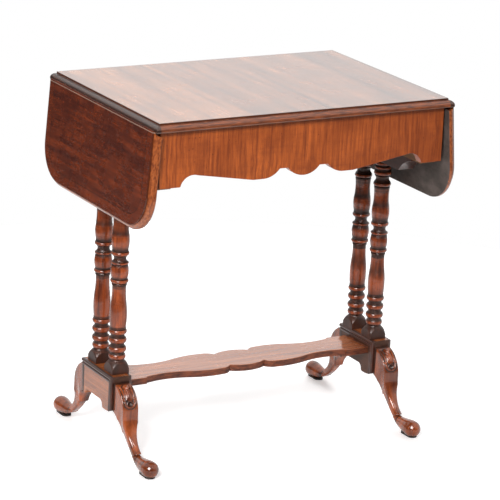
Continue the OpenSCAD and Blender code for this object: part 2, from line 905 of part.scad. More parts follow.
// Carved lappet on the knee: a raised U-shaped rim, three reeds in it and a sunk eye
module lappet() {
  w = lappet_w;
  foot = lappet_z;
  intersection() {
    along_x(w) intersection() {
      translate(knee_c) circle(r = knee_r + lappet_t, $fn = 180);
      translate([block_y, 0]) square([knee_out + over, block_z]);
    }
    union() {
      difference() {
        along_y(4 * block_l) {
          translate([0, foot]) circle(r = w / 2);
          translate([-w / 2, foot]) square([w, block_z - 13 - foot]);
        }
        along_y(5 * block_l) {
          translate([0, foot]) circle(r = w / 2 - 3);
          translate([3 - w / 2, foot]) square([w - 6, block_z - foot]);
        }
      }
      intersection() {
        translate([0, knee_c[0], knee_c[1]]) rotate([0, 90, 0])
            for (s = [-1, 0, 1])
              translate([0, 0, s * w / 4.6]) rotate_extrude($fn = 180)
                  translate([knee_r, 0]) circle(r = min(w / 11, lappet_t + 0.5));
        translate([-w, 0, foot + 4]) cube([2 * w, block_l, block_z]);
      }
    }
    translate([-w, block_y, foot - w]) cube([2 * w, block_l, w + block_z]);
  }
}

module leg() {
  color(mahogany) translate([block_x, 0, 0]) {
    difference() {
      union() {
        intersection() {
          along_x(leg_w + over) leg_side_2d();
          along_y(6 * block_l) leg_front_2d();
        }
        lappet();
        toe();
        translate([-block_x, 0, 0]) leg_tenon(0);
      }
      translate(eye_c) rotate([90, 0, 0]) cylinder(r = lappet_w / 5, h = 9, center = true);
    }
    translate(boss_c) sphere(r = boss_r);
  }
}

module leg_back_right() {
  leg();
}

module leg_front_right() {
  on_back() leg();
}

module leg_back_left() {
  on_left() leg();
}

module leg_front_left() {
  on_left() on_back() leg();
}

module foot_pad() {
  r = toe_r * 0.6;
  color("#1c1512") translate([block_x, 0, 0]) linear_extrude(pad_t) {
      for (d = [-sole_l, 0])
        translate([0, toe_y + d]) circle(r = r);
      translate([-r, toe_y - sole_l]) square([2 * r, sole_l]);
    }
}

module foot_pad_back_right() {
  foot_pad();
}

module foot_pad_front_right() {
  on_back() foot_pad();
}

module foot_pad_back_left() {
  on_left() foot_pad();
}

module foot_pad_front_left() {
  on_left() on_back() foot_pad();
}

// A quarter of the undershelf's outline: wide end, neck, swelling, cusp and lobe
module shelf_quarter_2d() {
  w = shelf_swell_y;
  square([shelf_x, shelf_neck_y - 1]);
  translate([shelf_x - shelf_end_l, 0]) square([shelf_end_l, shelf_end_y]);
  difference() {
    translate([shelf_turn, 0]) square([shelf_x - shelf_end_l - shelf_turn, w]);
    translate([neck_at, shelf_neck_y + shelf_r]) circle(r = shelf_r, $fn = 256);
  }
  intersection() {
    translate([lobe_x, 0]) square([neck_at - lobe_x, w]);
    translate([swell_at, w - shelf_r]) circle(r = shelf_r, $fn = 256);
  }
  intersection() {
    translate([lobe_x, w - lobe_end_in]) circle(r = lobe_end_r);
    square([lobe_x, w]);
  }
  intersection() {
    translate([0, lobe_bow_y - lobe_bow_r]) circle(r = lobe_bow_r, $fn = 180);
    square([lobe_bow_x, w]);
  }
}

module undershelf() {
  tenon_y = shelf_neck_y - glue_gap;
  color(mahogany) translate([0, 0, shelf_z - shelf_t]) {
      linear_extrude(shelf_t) intersection() {
          translate([-shelf_face_x, -shelf_swell_y]) square([2 * shelf_face_x, 2 * shelf_swell_y]);
          for (a = [0, 1], b = [0, 1])
            mirror([a, 0]) mirror([0, b]) shelf_quarter_2d();
        }
      linear_extrude(shelf_t - shelf_shoulder) {
        for (m = [0, 1])
          mirror([m, 0]) translate([shelf_face_x - 1, -shelf_end_y])
              square([shelf_x - shelf_face_x + 1, 2 * shelf_end_y]);
        translate([-shelf_x - shelf_tenon, -tenon_y]) square([2 * (shelf_x + shelf_tenon), 2 * tenon_y]);
      }
    }
}

tabletop();
left_leaf();
right_leaf();
front_apron();
back_apron();
left_inner_rail();
right_inner_rail();
left_fly_rail_front();
right_fly_rail_front();
left_fly_rail_back();
right_fly_rail_back();
left_fly_bracket();
right_fly_bracket();
left_bracket_pin();
right_bracket_pin();
left_column_bearer();
right_column_bearer();
corner_blocks();
top_blocks();
top_screws();
column_front_left();
column_back_left();
column_front_right();
column_back_right();
left_block();
right_block();
left_block_outer_moulding();
left_block_inner_moulding();
right_block_outer_moulding();
right_block_inner_moulding();
leg_front_left();
leg_back_left();
leg_front_right();
leg_back_right();
foot_pad_front_left();
foot_pad_back_left();
foot_pad_front_right();
foot_pad_back_right();
undershelf();
hinge_plate_front_left();
hinge_plate_back_left();
hinge_plate_front_right();
hinge_plate_back_right();
leaf_plate_front_left();
leaf_plate_back_left();
leaf_plate_front_right();
leaf_plate_back_right();
hinge_pins_left();
hinge_pins_right();
hinge_screws();
left_leaf_screws();
right_leaf_screws();
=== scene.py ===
"""A drop-leaf occasional table, dressed over its packed construction model.

Every board and moulding is taken from its solid and gets the softened arrises of a hand-finished
piece. The cabriole legs are modelled and carved here. Every finish is procedural and reads Object
coordinates, which are the table's own frame: metres, +Z up, X along the table.
"""
from dataclasses import dataclass
from enum import Enum
from functools import cache
import json
import logging
import math
from typing import Any, Sequence, Union

import bmesh
import bpy
from mathutils import Matrix, Vector
import numpy as np

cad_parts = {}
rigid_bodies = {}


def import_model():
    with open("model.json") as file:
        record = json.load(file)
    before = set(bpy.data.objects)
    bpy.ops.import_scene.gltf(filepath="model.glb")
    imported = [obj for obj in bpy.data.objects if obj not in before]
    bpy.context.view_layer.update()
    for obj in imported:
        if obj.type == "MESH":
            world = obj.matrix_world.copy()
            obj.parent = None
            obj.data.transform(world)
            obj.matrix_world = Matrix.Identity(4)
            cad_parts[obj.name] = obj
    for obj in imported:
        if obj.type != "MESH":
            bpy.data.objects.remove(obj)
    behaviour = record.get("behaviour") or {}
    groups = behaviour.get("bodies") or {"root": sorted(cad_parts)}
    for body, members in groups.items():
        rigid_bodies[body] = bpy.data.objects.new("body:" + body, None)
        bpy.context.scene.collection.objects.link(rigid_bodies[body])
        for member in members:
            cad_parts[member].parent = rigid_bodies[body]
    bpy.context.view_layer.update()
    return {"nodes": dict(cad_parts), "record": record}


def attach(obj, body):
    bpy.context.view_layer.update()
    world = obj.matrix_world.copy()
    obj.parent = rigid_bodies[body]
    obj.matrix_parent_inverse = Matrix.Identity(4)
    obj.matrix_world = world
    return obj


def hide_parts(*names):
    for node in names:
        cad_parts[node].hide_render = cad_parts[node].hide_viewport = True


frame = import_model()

LOG = logging.getLogger("table")
MM = 0.001
# Points within WELD metres become one. Edges bent less than FLAT go, and more than SHARP show.
WELD = 2e-6
FLAT = math.radians(0.6)
SHARP = math.radians(50)
Colour = tuple[float, float, float]


class Along(Enum):
    """The way that the grain of a board runs, as the index of a row axis."""

    LENGTH = 0
    DEPTH = 1
    HEIGHT = 2


class Value:
    """A number in a shader tree. Python's operators on it add Math nodes."""

    def __init__(self, tree: "Tree", socket: bpy.types.NodeSocket) -> None:
        """Wraps one output socket of a tree."""
        self.tree = tree
        self.socket = socket

    def maths(self, operation: str, *others: "Number", swap: bool = False) -> "Value":
        """Adds one Math node.

        Args:
            operation: Blender's name for the operation, such as "ADD".
            others: The operands after this one.
            swap: Whether this value is the second operand instead of the first.

        Returns:
            The node's result.
        """
        operands = [self, *others]
        if swap:
            operands.reverse()
        inputs = dict(enumerate(operands))
        made = self.tree.node("ShaderNodeMath", {"operation": operation}, inputs)
        return Value(self.tree, made.outputs[0])

    def __add__(self, other: "Number") -> "Value":
        """self + other"""
        return self.maths("ADD", other)

    def __sub__(self, other: "Number") -> "Value":
        """self - other"""
        return self.maths("SUBTRACT", other)

    def __rsub__(self, other: "Number") -> "Value":
        """other - self"""
        return self.maths("SUBTRACT", other, swap=True)

    def __mul__(self, other: "Number") -> "Value":
        """self * other"""
        return self.maths("MULTIPLY", other)

    def __pow__(self, other: "Number") -> "Value":
        """self to the power of other"""
        return self.maths("POWER", other)

    __radd__ = __add__
    __rmul__ = __mul__

    def __abs__(self) -> "Value":
        """The size without the sign."""
        return self.maths("ABSOLUTE")

    def at_least(self, other: "Number") -> "Value":
        """The larger of the two."""
        return self.maths("MAXIMUM", other)

    def at_most(self, other: "Number") -> "Value":
        """The smaller of the two."""
        return self.maths("MINIMUM", other)

    def step(self, low: float, high: float) -> "Value":
        """Runs smoothly from 0 at low to 1 at high; low may be the larger one.

        Args:
            low: Where the result is 0.
            high: Where the result is 1.

        Returns:
            The share, from 0 to 1.
        """
        made = self.tree.node(
            "ShaderNodeMapRange",
            {"interpolation_type": "SMOOTHSTEP"},
            {"Value": self, "From Min": low, "From Max": high},
        )
        return Value(self.tree, made.outputs["Result"])

    def past(self, edge: float, soft: float) -> "Value":
        """Runs from 0 to 1 across an edge, soft to each side; with soft below 0, from 1 to 0."""
        return self.step(edge - soft, edge + soft)

    def line(self, middle: float, half: float, fade: float) -> "Value":
        """1 within half of the middle, and 0 from fade on."""
        return 1.0 - abs(self - middle).step(half, fade)


Number = Union[Value, float, int]
Layer = Union[tuple[Number, Any], tuple[Number, Any, str]]


class Tree:
    """The node tree of a material, of the world or of a modifier."""

    def __init__(self, node_tree: bpy.types.NodeTree) -> None:
        """Empties the tree.

        Args:
            node_tree: The tree to fill.
        """
        self.tree = node_tree
        self.tree.nodes.clear()
        self._place: tuple[Value, Value, Value] | None = None

    def node(
            self, kind: str, settings: dict | None = None, inputs: dict | None = None
    ) -> bpy.types.Node:
        """Adds any node.

        Args:
            kind: The node's type.
            settings: Its own settings, which are set first; "stops" fills a colour ramp.
            inputs: A value, a Value or a socket for each input, by name or index.

        Returns:
            The new node.
        """
        made = self.tree.nodes.new(kind)
        for name, setting in (settings or {}).items():
            if name == "stops":
                self._fill_ramp(made.color_ramp, setting)
            else:
                setattr(made, name, setting)
        for key, given in (inputs or {}).items():
            socket = made.inputs[key]
            if isinstance(given, Value):
                given = given.socket
            if isinstance(given, bpy.types.NodeSocket):
                self.tree.links.new(given, socket)
            else:
                socket.default_value = given
        return made

    @staticmethod
    def _fill_ramp(ramp: bpy.types.ColorRamp, stops: Sequence[tuple[float, Colour]]) -> None:
        """Sets the stops of a colour ramp, from the lowest up.

        Args:
            ramp: The colour ramp.
            stops: The place, from 0 to 1, and the colour of each stop.
        """
        while len(ramp.elements) < len(stops):
            ramp.elements.new(1.0)
        for element, (place, colour) in zip(ramp.elements, stops):
            element.position = place
            element.color = (*colour, 1.0)

    def parts(self, vector: bpy.types.NodeSocket) -> tuple[Value, Value, Value]:
        """The x, y and z of a vector."""
        made = self.node("ShaderNodeSeparateXYZ", inputs={0: vector})
        return tuple(Value(self, socket) for socket in made.outputs)

    def place(self) -> tuple[Value, Value, Value]:
        """The shaded point's x, y and z in the table's frame.

        Returns:
            The three coordinates, read by one node in each tree.
        """
        if self._place is None:
            self._place = self.parts(self.node("ShaderNodeTexCoord").outputs["Object"])
        return self._place

    def attribute(self, name: str) -> bpy.types.Node:
        """Reads an attribute of the piece's own mesh."""
        return self.node("ShaderNodeAttribute", {"attribute_name": name})

    def vector(self, x: Number, y: Number, z: Number) -> bpy.types.NodeSocket:
        """Joins three numbers to a vector."""
        return self.node("ShaderNodeCombineXYZ", inputs={0: x, 1: y, 2: z}).outputs[0]

    def noise(
            self, vector: bpy.types.NodeSocket, detail: float = 3.0, roughness: float = 0.55
    ) -> Value:
        """Smooth noise of the vector, whose cells are about 1 wide, from 0 to 1.

        Args:
            vector: The place in the noise.
            detail: The number of finer layers in it.
            roughness: The strength of each layer, as a share of the one before.

        Returns:
            The noise.
        """
        made = self.node(
            "ShaderNodeTexNoise",
            {"noise_dimensions": "3D"},
            {"Vector": vector, "Scale": 1.0, "Detail": detail, "Roughness": roughness},
        )
        return Value(self, made.outputs[0])

    def mix(
            self, factor: Number, first: Any, second: Any, blend: str = "MIX"
    ) -> bpy.types.NodeSocket:
        """Mixes two colours.

        Args:
            factor: The share of the second colour.
            first: A colour or a colour socket.
            second: A colour or a colour socket.
            blend: Blender's name of the blend mode.

        Returns:
            The mixed colour.
        """
        settings = {"data_type": "RGBA", "blend_type": blend, "clamp_factor": True}
        colours = [(*c, 1.0) if isinstance(c, tuple) else c for c in (first, second)]
        made = self.node("ShaderNodeMix", settings, {0: factor, 6: colours[0], 7: colours[1]})
        return made.outputs[2]

    def layers(self, base: bpy.types.NodeSocket, *layers: Layer) -> bpy.types.NodeSocket:
        """Lays colours over a base.

        Args:
            base: The lowest colour.
            layers: Each a share, a colour and, if it isn't MIX, a blend mode.

        Returns:
            The colour on top.
        """
        for share, *rest in layers:
            base = self.mix(share, base, *rest)
        return base

    def finish(self, **inputs: Any) -> None:
        """Ends a material in a Principled shader.

        Args:
            inputs: The shader's inputs, with _ for the spaces in their names.
        """
        named = {name.replace("_", " "): given for name, given in inputs.items()}
        shader = self.node("ShaderNodeBsdfPrincipled", inputs=named)
        self.node("ShaderNodeOutputMaterial", inputs={"Surface": shader.outputs[0]})

    def bump(self, height: Value, depth: float) -> bpy.types.NodeSocket:
        """A normal bent by a height from 0 to 1, whose full depth is in metres."""
        inputs = {"Strength": 1.0, "Distance": depth, "Height": height}
        return self.node("ShaderNodeBump", inputs=inputs).outputs[0]


def shaded(colour: Colour, share: float) -> Colour:
    """A colour with all its parts times a share."""
    return tuple(c * share for c in colour)


@dataclass(frozen=True)
class Noise:
    """Smooth noise over stretched coordinates, cut between two heights where a cut is given.

    The stretch is in cells per metre. An axis with none stays at one value, rest.
    """

    stretch: tuple[float, float, float]
    cut: tuple[float, float] | None = None
    detail: float = 3.0
    roughness: float = 0.55
    rest: float = 0.0

    def over(self, tree: Tree, place: Sequence[Value]) -> Value:
        """The noise at each point of a place, from 0 to 1.

        Args:
            tree: The material's tree.
            place: The point's coordinates.

        Returns:
            The noise.
        """
        cells = [p * s if s else self.rest for p, s in zip(place, self.stretch)]
        made = tree.noise(tree.vector(*cells), self.detail, self.roughness)
        return made.step(*self.cut) if self.cut else made


@dataclass(frozen=True)
class Finish:
    """A finish, from which one material is made."""

    name: str

    def shade(self, tree: Tree) -> None:
        """Fills the material's tree."""
        raise NotImplementedError


@cache
def material_of(finish: Finish) -> bpy.types.Material:
    """The material of a finish, made when it is first asked for.

    Args:
        finish: The finish.

    Returns:
        Its material.
    """
    made = bpy.data.materials.new(finish.name)
    made.use_nodes = True
    finish.shade(Tree(made.node_tree))
    return made


@dataclass(frozen=True)
class Mahogany(Finish):
    """French polished mahogany.

    The colours are linear. Streaks, fibres and pores have their width in metres and a reach, how
    many times longer they are along the grain. A soiled piece has a value on each point for both
    its soil and its painted shade.
    """

    light: Colour
    dark: Colour
    grain: Along
    streak: float = 0.010
    streak_reach: float = 22.0
    fibre: float = 0.0011
    fibre_reach: float = 40.0
    pore: float = 0.0004
    pore_reach: float = 14.0
    drift: float = 0.012
    contrast: float = 1.0
    blotch: float = 0.35
    polish: float = 0.6
    polish_index: float = 1.5
    dullness: float = 0.32
    raw_dullness: float = 0.45
    relief: float = 0.00006
    seed: float = 0.0
    soiled_and_shaded: bool = False
    grime_and_shade_cut: tuple[float, float] = (0.18, 0.72)
    # dark colour laid both for soil and for painted shade
    grime_and_shade: Colour = (0.012, 0.006, 0.004)

    def place(self, tree: Tree) -> tuple[Value, Value, Value]:
        """The coordinates that the grain follows: the table's own."""
        return tree.place()

    def pattern(self, tree: Tree) -> tuple[Value, Value, Value, Value]:
        """The grain.

        Args:
            tree: The material's tree.

        Returns:
            Broad streaks, fibres, pores and blotches, each from 0 to 1.
        """
        place = list(self.place(tree))
        drift = tree.noise(tree.vector(*[p * 9.0 + self.seed for p in place]), 2.0)
        across = [p + (drift - 0.5) * self.drift for p in place]

        def along(width: float, reach: float) -> bpy.types.NodeSocket:
            """Coordinates in cells of a width across the grain and reach times it along."""
            scaled = [p * (1 / width) + self.seed for p in across]
            way = self.grain.value
            scaled[way] = place[way] * (1 / (width * reach)) + self.seed
            return tree.vector(*scaled)

        streaks = tree.noise(along(self.streak, self.streak_reach), 4.0, 0.6)
        fibres = tree.noise(along(self.fibre, self.fibre_reach), 3.0, 0.6)
        pores = tree.noise(along(self.pore, self.pore_reach), 1.0).step(0.60, 0.72)
        blotches = tree.noise(tree.vector(*[p * 14.0 - self.seed for p in place]), 3.0)
        return streaks, fibres, pores, blotches

    def detail(self, tree: Tree) -> list[Layer]:
        """What a kind of board lays over its grain: nothing on plain mahogany."""
        return []

    def sheen(self, tree: Tree) -> Number:
        """The share of the polish at each point: all of it on plain mahogany."""
        return 1.0

    def shade(self, tree: Tree) -> None:
        """Lays grain, the board's own detail and soil with painted shade, and polishes them.

        Args:
            tree: The material's tree, still empty.
        """
        streaks, fibres, pores, blotches = self.pattern(tree)
        tone = (streaks - 0.5) * (1.5 * self.contrast) + (fibres - 0.5) * (0.5 * self.contrast)
        wood = tree.layers(
            tree.mix(tone + 0.5, self.dark, self.light),
            ((0.62 - blotches).at_least(0.0) * (2.0 * self.blotch), self.dark),
            (pores * 0.45, shaded(self.dark, 0.35)),
            *self.detail(tree),
        )
        sheen = self.sheen(tree)
        coat: Number = sheen * self.polish
        rough = (1.0 - sheen) * self.raw_dullness + (blotches - 0.5) * 0.16 + fibres * 0.06
        rough = rough + (self.dullness - 0.03)
        if self.soiled_and_shaded:
            # the painted value is soil on some points and painted shade on others: high values
            # darken the wood, values below 0 lighten it where rubbed
            soil = Value(tree, tree.attribute("soil").outputs["Fac"])
            grime_and_shade = (soil + (blotches - 0.5) * 0.5).step(*self.grime_and_shade_cut)
            rubbed = soil.step(-0.1, -0.9)
            wood = tree.layers(wood, (grime_and_shade * 0.90, self.grime_and_shade), (rubbed * 0.45, self.light))
            rough = rough + grime_and_shade * 0.25
            coat = (1.0 - grime_and_shade * 0.7) * coat
        tree.finish(
            Base_Color=wood,
            Roughness=rough,
            Coat_Weight=coat,
            Coat_Roughness=0.07,
            Coat_IOR=self.polish_index,
            IOR=1.45,
            Normal=tree.bump(fibres * 0.5 - pores, self.relief),
        )


@dataclass(frozen=True)
class TopVeneer(Mahogany):
    """Veneer of the fixed top, in four widths, with a moulding of its own grain around it.

    Each joint has its place along the table and the tone of the veneer beyond it.
    """

    field: tuple[float, float] = (0.3215, 0.226)
    joints: tuple[tuple[float, Colour], ...] = (
        (-0.121, (0.72, 0.70, 0.78)), (0.060, (1.0, 0.98, 0.95)), (0.2155, (0.80, 0.76, 0.72)))
    under_z: float = 0.7036
    raw: Colour = (0.120, 0.062, 0.034)
    edge_light: Colour = (0.30, 0.072, 0.017)
    edge_dark: Colour = (0.062, 0.014, 0.005)
    short_edge: Colour = (0.020, 0.008, 0.005)
    mottle: Noise = Noise((34.0, 34.0, 420.0), (0.25, 0.75))
    saw: Noise = Noise((12.0, 160.0, 0.0))

    def underneath(self, tree: Tree) -> Value:
        """Whether a point is on the unpolished underside."""
        return tree.place()[2].past(self.under_z, -0.0004)

    def moulded(self, tree: Tree) -> tuple[Value, Value]:
        """How far a point lies beyond the flat field, and whether it is on the moulding.

        Args:
            tree: The material's tree.

        Returns:
            The distance in metres, below 0 on the field, and 1 on the moulding or 0.
        """
        x, y, _ = tree.place()
        beyond = (abs(x) - self.field[0]).at_least(abs(y) - self.field[1])
        return beyond, beyond.step(-0.0003, 0.0001)

    def sheen(self, tree: Tree) -> Number:
        """Less polish on the moulding, and none underneath."""
        return (1.0 - self.moulded(tree)[1] * 0.50) * (1.0 - self.underneath(tree))

    def detail(self, tree: Tree) -> list[Layer]:
        """Shades each width of veneer a little apart and draws the joints and the moulding.

        Args:
            tree: The material's tree.

        Returns:
            The layers, the lowest first.
        """
        place = tree.place()
        x = place[0]
        layers: list[Layer] = []
        for joint, tone in self.joints:
            layers.append((x.past(joint, 0.0002) * 0.85, tone, "MULTIPLY"))
            layers.append((x.line(joint, 0.0002, 0.0007) * 0.5, self.edge_dark))
        beyond, moulded = self.moulded(tree)
        short = (abs(x) - self.field[0]).step(0.0, 0.0004)
        edge = tree.mix(self.mottle.over(tree, place), self.edge_dark, self.edge_light)
        sawn = tree.mix(self.saw.over(tree, place), shaded(self.raw, 0.6), self.raw)
        return layers + [
            (moulded, tree.mix(short * 0.85, edge, self.short_edge)),
            (beyond.line(-0.0008, 0.0006, 0.0015) * 0.85, self.edge_dark),
            (self.underneath(tree), sawn),
        ]


@dataclass(frozen=True)
class LeafVeneer(Mahogany):
    """Mottled veneer of a leaf, crossbanded, in coordinates of the leaf as it lies raised."""

    length: float = 0.198
    half: float = 0.226
    corner: float = 0.071
    band: float = 0.021
    upper_edge: float = 0.0040
    lip_light: Colour = (0.42, 0.110, 0.028)
    lip_dark: Colour = (0.16, 0.034, 0.010)
    inlay: Colour = (0.02, 0.006, 0.003)
    groove: Colour = (0.05, 0.015, 0.008)
    # painted highlight colour for the line along the upper edge
    wear_and_painted_highlight: Colour = (0.62, 0.46, 0.36)
    raw: Colour = (0.060, 0.047, 0.041)
    mottle: Noise = Noise((34.0, 22.0, 30.0), None, 5.0, 0.68)
    cross: Noise = Noise((300.0, 300.0, 0.0), None, 2.0, rest=1.0)
    lip_grain: Noise = Noise((160.0, 160.0, 500.0), (0.3, 0.7))
    stain: Noise = Noise((26.0, 14.0, 0.0), (0.30, 0.70), 5.0, 0.65)

    def place(self, tree: Tree) -> tuple[Value, Value, Value]:
        """Distance from the pin, place along the joint and height, in the leaf's own frame."""
        lay = tree.attribute("lay").outputs["Vector"]
        return tree.parts(lay)

    def back(self, tree: Tree) -> Value:
        """Whether a point is on the leaf's back."""
        return self.place(tree)[2].step(-0.0028, -0.0034)

    def sheen(self, tree: Tree) -> Number:
        """No polish on the back."""
        return 1.0 - self.back(tree)

    def detail(self, tree: Tree) -> list[Layer]:
        """Draws the crossbanding, orange lip, painted upper-edge highlight and grey back.

        Args:
            tree: The material's tree.

        Returns:
            The layers, the lowest first.
        """
        place = self.place(tree)
        u, y, _ = place
        across = (u - (self.length - self.corner)).at_least(0.0)
        down = (abs(y) - (self.half - self.corner)).at_least(0.0)
        rounded = (across * across + down * down) ** 0.5 - self.corner
        beyond = rounded.at_least((u - self.length).at_least(abs(y) - self.half))
        mottle = self.mottle.over(tree, place)
        banded = (beyond + self.band).step(-0.0002, 0.0003) * self.cross.over(tree, place)
        lip = tree.mix(self.lip_grain.over(tree, place), self.lip_dark, self.lip_light)
        grey = tree.mix(self.stain.over(tree, place), shaded(self.raw, 0.7), shaded(self.raw, 1.8))
        return [
            (mottle.step(0.42, 0.68) * 0.75, self.dark),
            (mottle.step(0.44, 0.28) * 0.5, self.light),
            (banded * 0.35, self.light),
            (beyond.line(-self.band, 0.0005, 0.0013) * 0.75, self.inlay),
            (beyond.step(-0.0002, 0.0004), lip),
            (beyond.line(-0.0002, 0.0005, 0.0012) * 0.6, self.groove),
            # painted highlight along the leaf's upper edge
            (u.line(self.upper_edge, 0.0004, 0.0010) * 0.55, self.wear_and_painted_highlight),
            (self.back(tree), grey),
        ]


@dataclass(frozen=True)
class ApronVeneer(Mahogany):
    """Upright veneer of the aprons, with old knocks, fly specks and fine shrinkage cracks."""

    inner_y: float = 0.2024
    raw: Colour = (0.170, 0.088, 0.042)
    speck: Colour = (0.03, 0.008, 0.004)
    # painted shadow colour for the band under the top
    painted_shadow: Colour = (0.06, 0.014, 0.006)
    painted_shadow_z: tuple[float, float] = (0.688, 0.704)
    # painted shade: the apron darkens towards the right end
    painted_shade_x: tuple[float, float] = (-0.10, 0.33)
    cracks: Noise = Noise((420.0, 0.0, 5.0), (0.66, 0.74), 1.0, rest=3.0)
    specks: Noise = Noise((230.0, 0.0, 150.0), (0.70, 0.76), 1.0, rest=7.0)
    clouds: Noise = Noise((16.0, 0.0, 22.0), (0.48, 0.72), 4.0, 0.6, 5.0)
    bars: Noise = Noise((8.0, 0.0, 90.0), (0.50, 0.72), rest=11.0)

    def inside(self, tree: Tree) -> Value:
        """Whether a point is on the apron's inner face."""
        return abs(tree.place()[1]).past(self.inner_y, -0.0004)

    def sheen(self, tree: Tree) -> Number:
        """No polish on the inner face."""
        return 1.0 - self.inside(tree)

    def detail(self, tree: Tree) -> list[Layer]:
        """Adds cracks, specks, painted shade to the right and a painted shadow under the top.

        Args:
            tree: The material's tree.

        Returns:
            The layers, the lowest first.
        """
        place = tree.place()
        return [
            (self.cracks.over(tree, place) * 0.40, self.dark),
            (self.specks.over(tree, place) * 0.75, self.speck),
            # painted shade towards the right end
            (place[0].step(*self.painted_shade_x) * 0.34, self.dark),
            (self.clouds.over(tree, place) * 0.40, self.dark),
            (self.bars.over(tree, place) * 0.22, self.dark),
            # painted shadow along the apron's top, under the top board
            (place[2].step(*self.painted_shadow_z) * 0.55, self.painted_shadow),
            (self.inside(tree) * 0.9, self.raw),
        ]


@dataclass(frozen=True)
class BlockVeneer(Mahogany):
    """Veneer of a block's outer side, with painted shade on the ends and the face to the shelf."""

    end_y: float = 0.0662
    inner_x: float = 0.2860
    # painted shade colour for the ends and for the face towards the shelf
    end: Colour = (0.024, 0.014, 0.011)

    def ends(self, tree: Tree) -> Value:
        """Whether a point is on the front or back end."""
        return abs(tree.place()[1]).past(self.end_y, 0.0003)

    def inner(self, tree: Tree) -> Value:
        """Whether a point is on the face towards the shelf."""
        return abs(tree.place()[0]).past(self.inner_x, -0.0003)

    def sheen(self, tree: Tree) -> Number:
        """No polish on the ends and little on the inner face."""
        return (1.0 - self.ends(tree)) * (1.0 - self.inner(tree) * 0.8)

    def detail(self, tree: Tree) -> list[Layer]:
        """Paints shade on the face towards the shelf and on the ends."""
        return [(self.inner(tree) * 0.85, self.end), (self.ends(tree) * 0.9, self.end)]


@dataclass(frozen=True)
class ShelfVeneer(Mahogany):
    """Veneer of the undershelf's face, over edges dark with handling."""

    face_z: float = 0.146
    edge_light: Colour = (0.22, 0.055, 0.020)
    edge_dark: Colour = (0.040, 0.011, 0.006)
    wear_and_painted_highlight: Noise = Noise((45.0, 45.0, 160.0), (0.30, 0.70), 4.0, 0.65)

    def edges(self, tree: Tree) -> Value:
        """Whether a point lies below the shelf's face."""
        return tree.place()[2].past(self.face_z - 0.0010, -0.0004)

    def sheen(self, tree: Tree) -> Number:
        """Little polish on the edges."""
        return 1.0 - self.edges(tree) * 0.8

    def detail(self, tree: Tree) -> list[Layer]:
        """Darkens the edges in patches."""
        wear_and_painted_highlight = self.wear_and_painted_highlight.over(tree, tree.place())
        return [(self.edges(tree), tree.mix(wear_and_painted_highlight, self.edge_light, self.edge_dark))]


@dataclass(frozen=True)
class Metal(Finish):
    """A plain metal with scratches and tarnish."""

    bright: Colour
    tarnish: Colour
    share: float = 0.5
    dullness: float = 0.35
    relief: float = 0.00003
    stain: Noise = Noise((90.0, 90.0, 90.0), None, 4.0)
    scratch: Noise = Noise((1500.0, 120.0, 1500.0), None, 2.0)

    def shade(self, tree: Tree) -> None:
        """Stains and scratches the metal.

        Args:
            tree: The material's tree, still empty.
        """
        stain = self.stain.over(tree, tree.place())
        lines = self.scratch.over(tree, tree.place())
        tree.finish(
            Base_Color=tree.mix(stain.step(0.35, 0.75) * self.share, self.bright, self.tarnish),
            Metallic=1.0,
            Roughness=stain * 0.25 + lines * 0.12 + (self.dullness - 0.15),
            Normal=tree.bump(lines, self.relief),
        )


@dataclass(frozen=True)
class PadLeather(Finish):
    """Dark leather under the toes."""

    colour: Colour = (0.020, 0.017, 0.015)
    relief: float = 0.0002
    grain: Noise = Noise((1400.0, 1400.0, 1400.0))

    def shade(self, tree: Tree) -> None:
        """Grains the leather.

        Args:
            tree: The material's tree, still empty.
        """
        grain = self.grain.over(tree, tree.place())
        tree.finish(
            Base_Color=tree.mix(grain, self.colour, shaded(self.colour, 2.2)),
            Roughness=grain * 0.2 + 0.6,
            Normal=tree.bump(grain, self.relief),
        )


@dataclass(frozen=True)
class Paper(Finish):
    """White paper that glows a little to the camera and can be seen through from below."""

    white: Colour = (0.93, 0.93, 0.93)
    glow: float = 0.30

    def shade(self, tree: Tree) -> None:
        """Adds the glow and clears the underside.

        Args:
            tree: The material's tree, still empty.
        """
        seen = Value(tree, tree.node("ShaderNodeLightPath").outputs["Is Camera Ray"])
        lit = tree.node("ShaderNodeEmission", inputs={"Strength": seen * self.glow})
        flat = tree.node("ShaderNodeBsdfDiffuse", inputs={"Color": (*self.white, 1)})
        both = tree.node("ShaderNodeAddShader", inputs={0: flat.outputs[0], 1: lit.outputs[0]})
        clear = tree.node("ShaderNodeBsdfTransparent")
        below = tree.node("ShaderNodeNewGeometry").outputs["Backfacing"]
        sided = tree.node(
            "ShaderNodeMixShader", inputs={0: below, 1: both.outputs[0], 2: clear.outputs[0]})
        tree.node("ShaderNodeOutputMaterial", inputs={"Surface": sided.outputs[0]})


TOP = TopVeneer(
    "top veneer", (0.78, 0.310, 0.125), (0.15, 0.042, 0.018), Along.DEPTH, streak=0.024,
    contrast=1.6, blotch=0.7, polish=1.0, polish_index=2.0, dullness=0.25)
LEAF = LeafVeneer(
    "leaf veneer", (0.240, 0.038, 0.006), (0.050, 0.007, 0.003), Along.DEPTH, contrast=1.5,
    blotch=0.7, polish=0.35, dullness=0.27, seed=3.0)
APRON = ApronVeneer(
    "apron veneer", (0.66, 0.150, 0.024), (0.170, 0.030, 0.008), Along.HEIGHT, streak=0.0045,
    contrast=1.25, blotch=0.7, polish=0.2, dullness=0.36, seed=5.0)
COLUMN = Mahogany(
    "turned mahogany", (0.48, 0.095, 0.022), (0.070, 0.013, 0.005), Along.HEIGHT, contrast=1.6,
    blotch=0.8, polish=0.45, dullness=0.24, seed=7.0, soiled_and_shaded=True)
BLOCK = BlockVeneer(
    "block veneer", (0.54, 0.165, 0.048), (0.17, 0.042, 0.013), Along.DEPTH, contrast=1.3,
    dullness=0.25, seed=9.0)
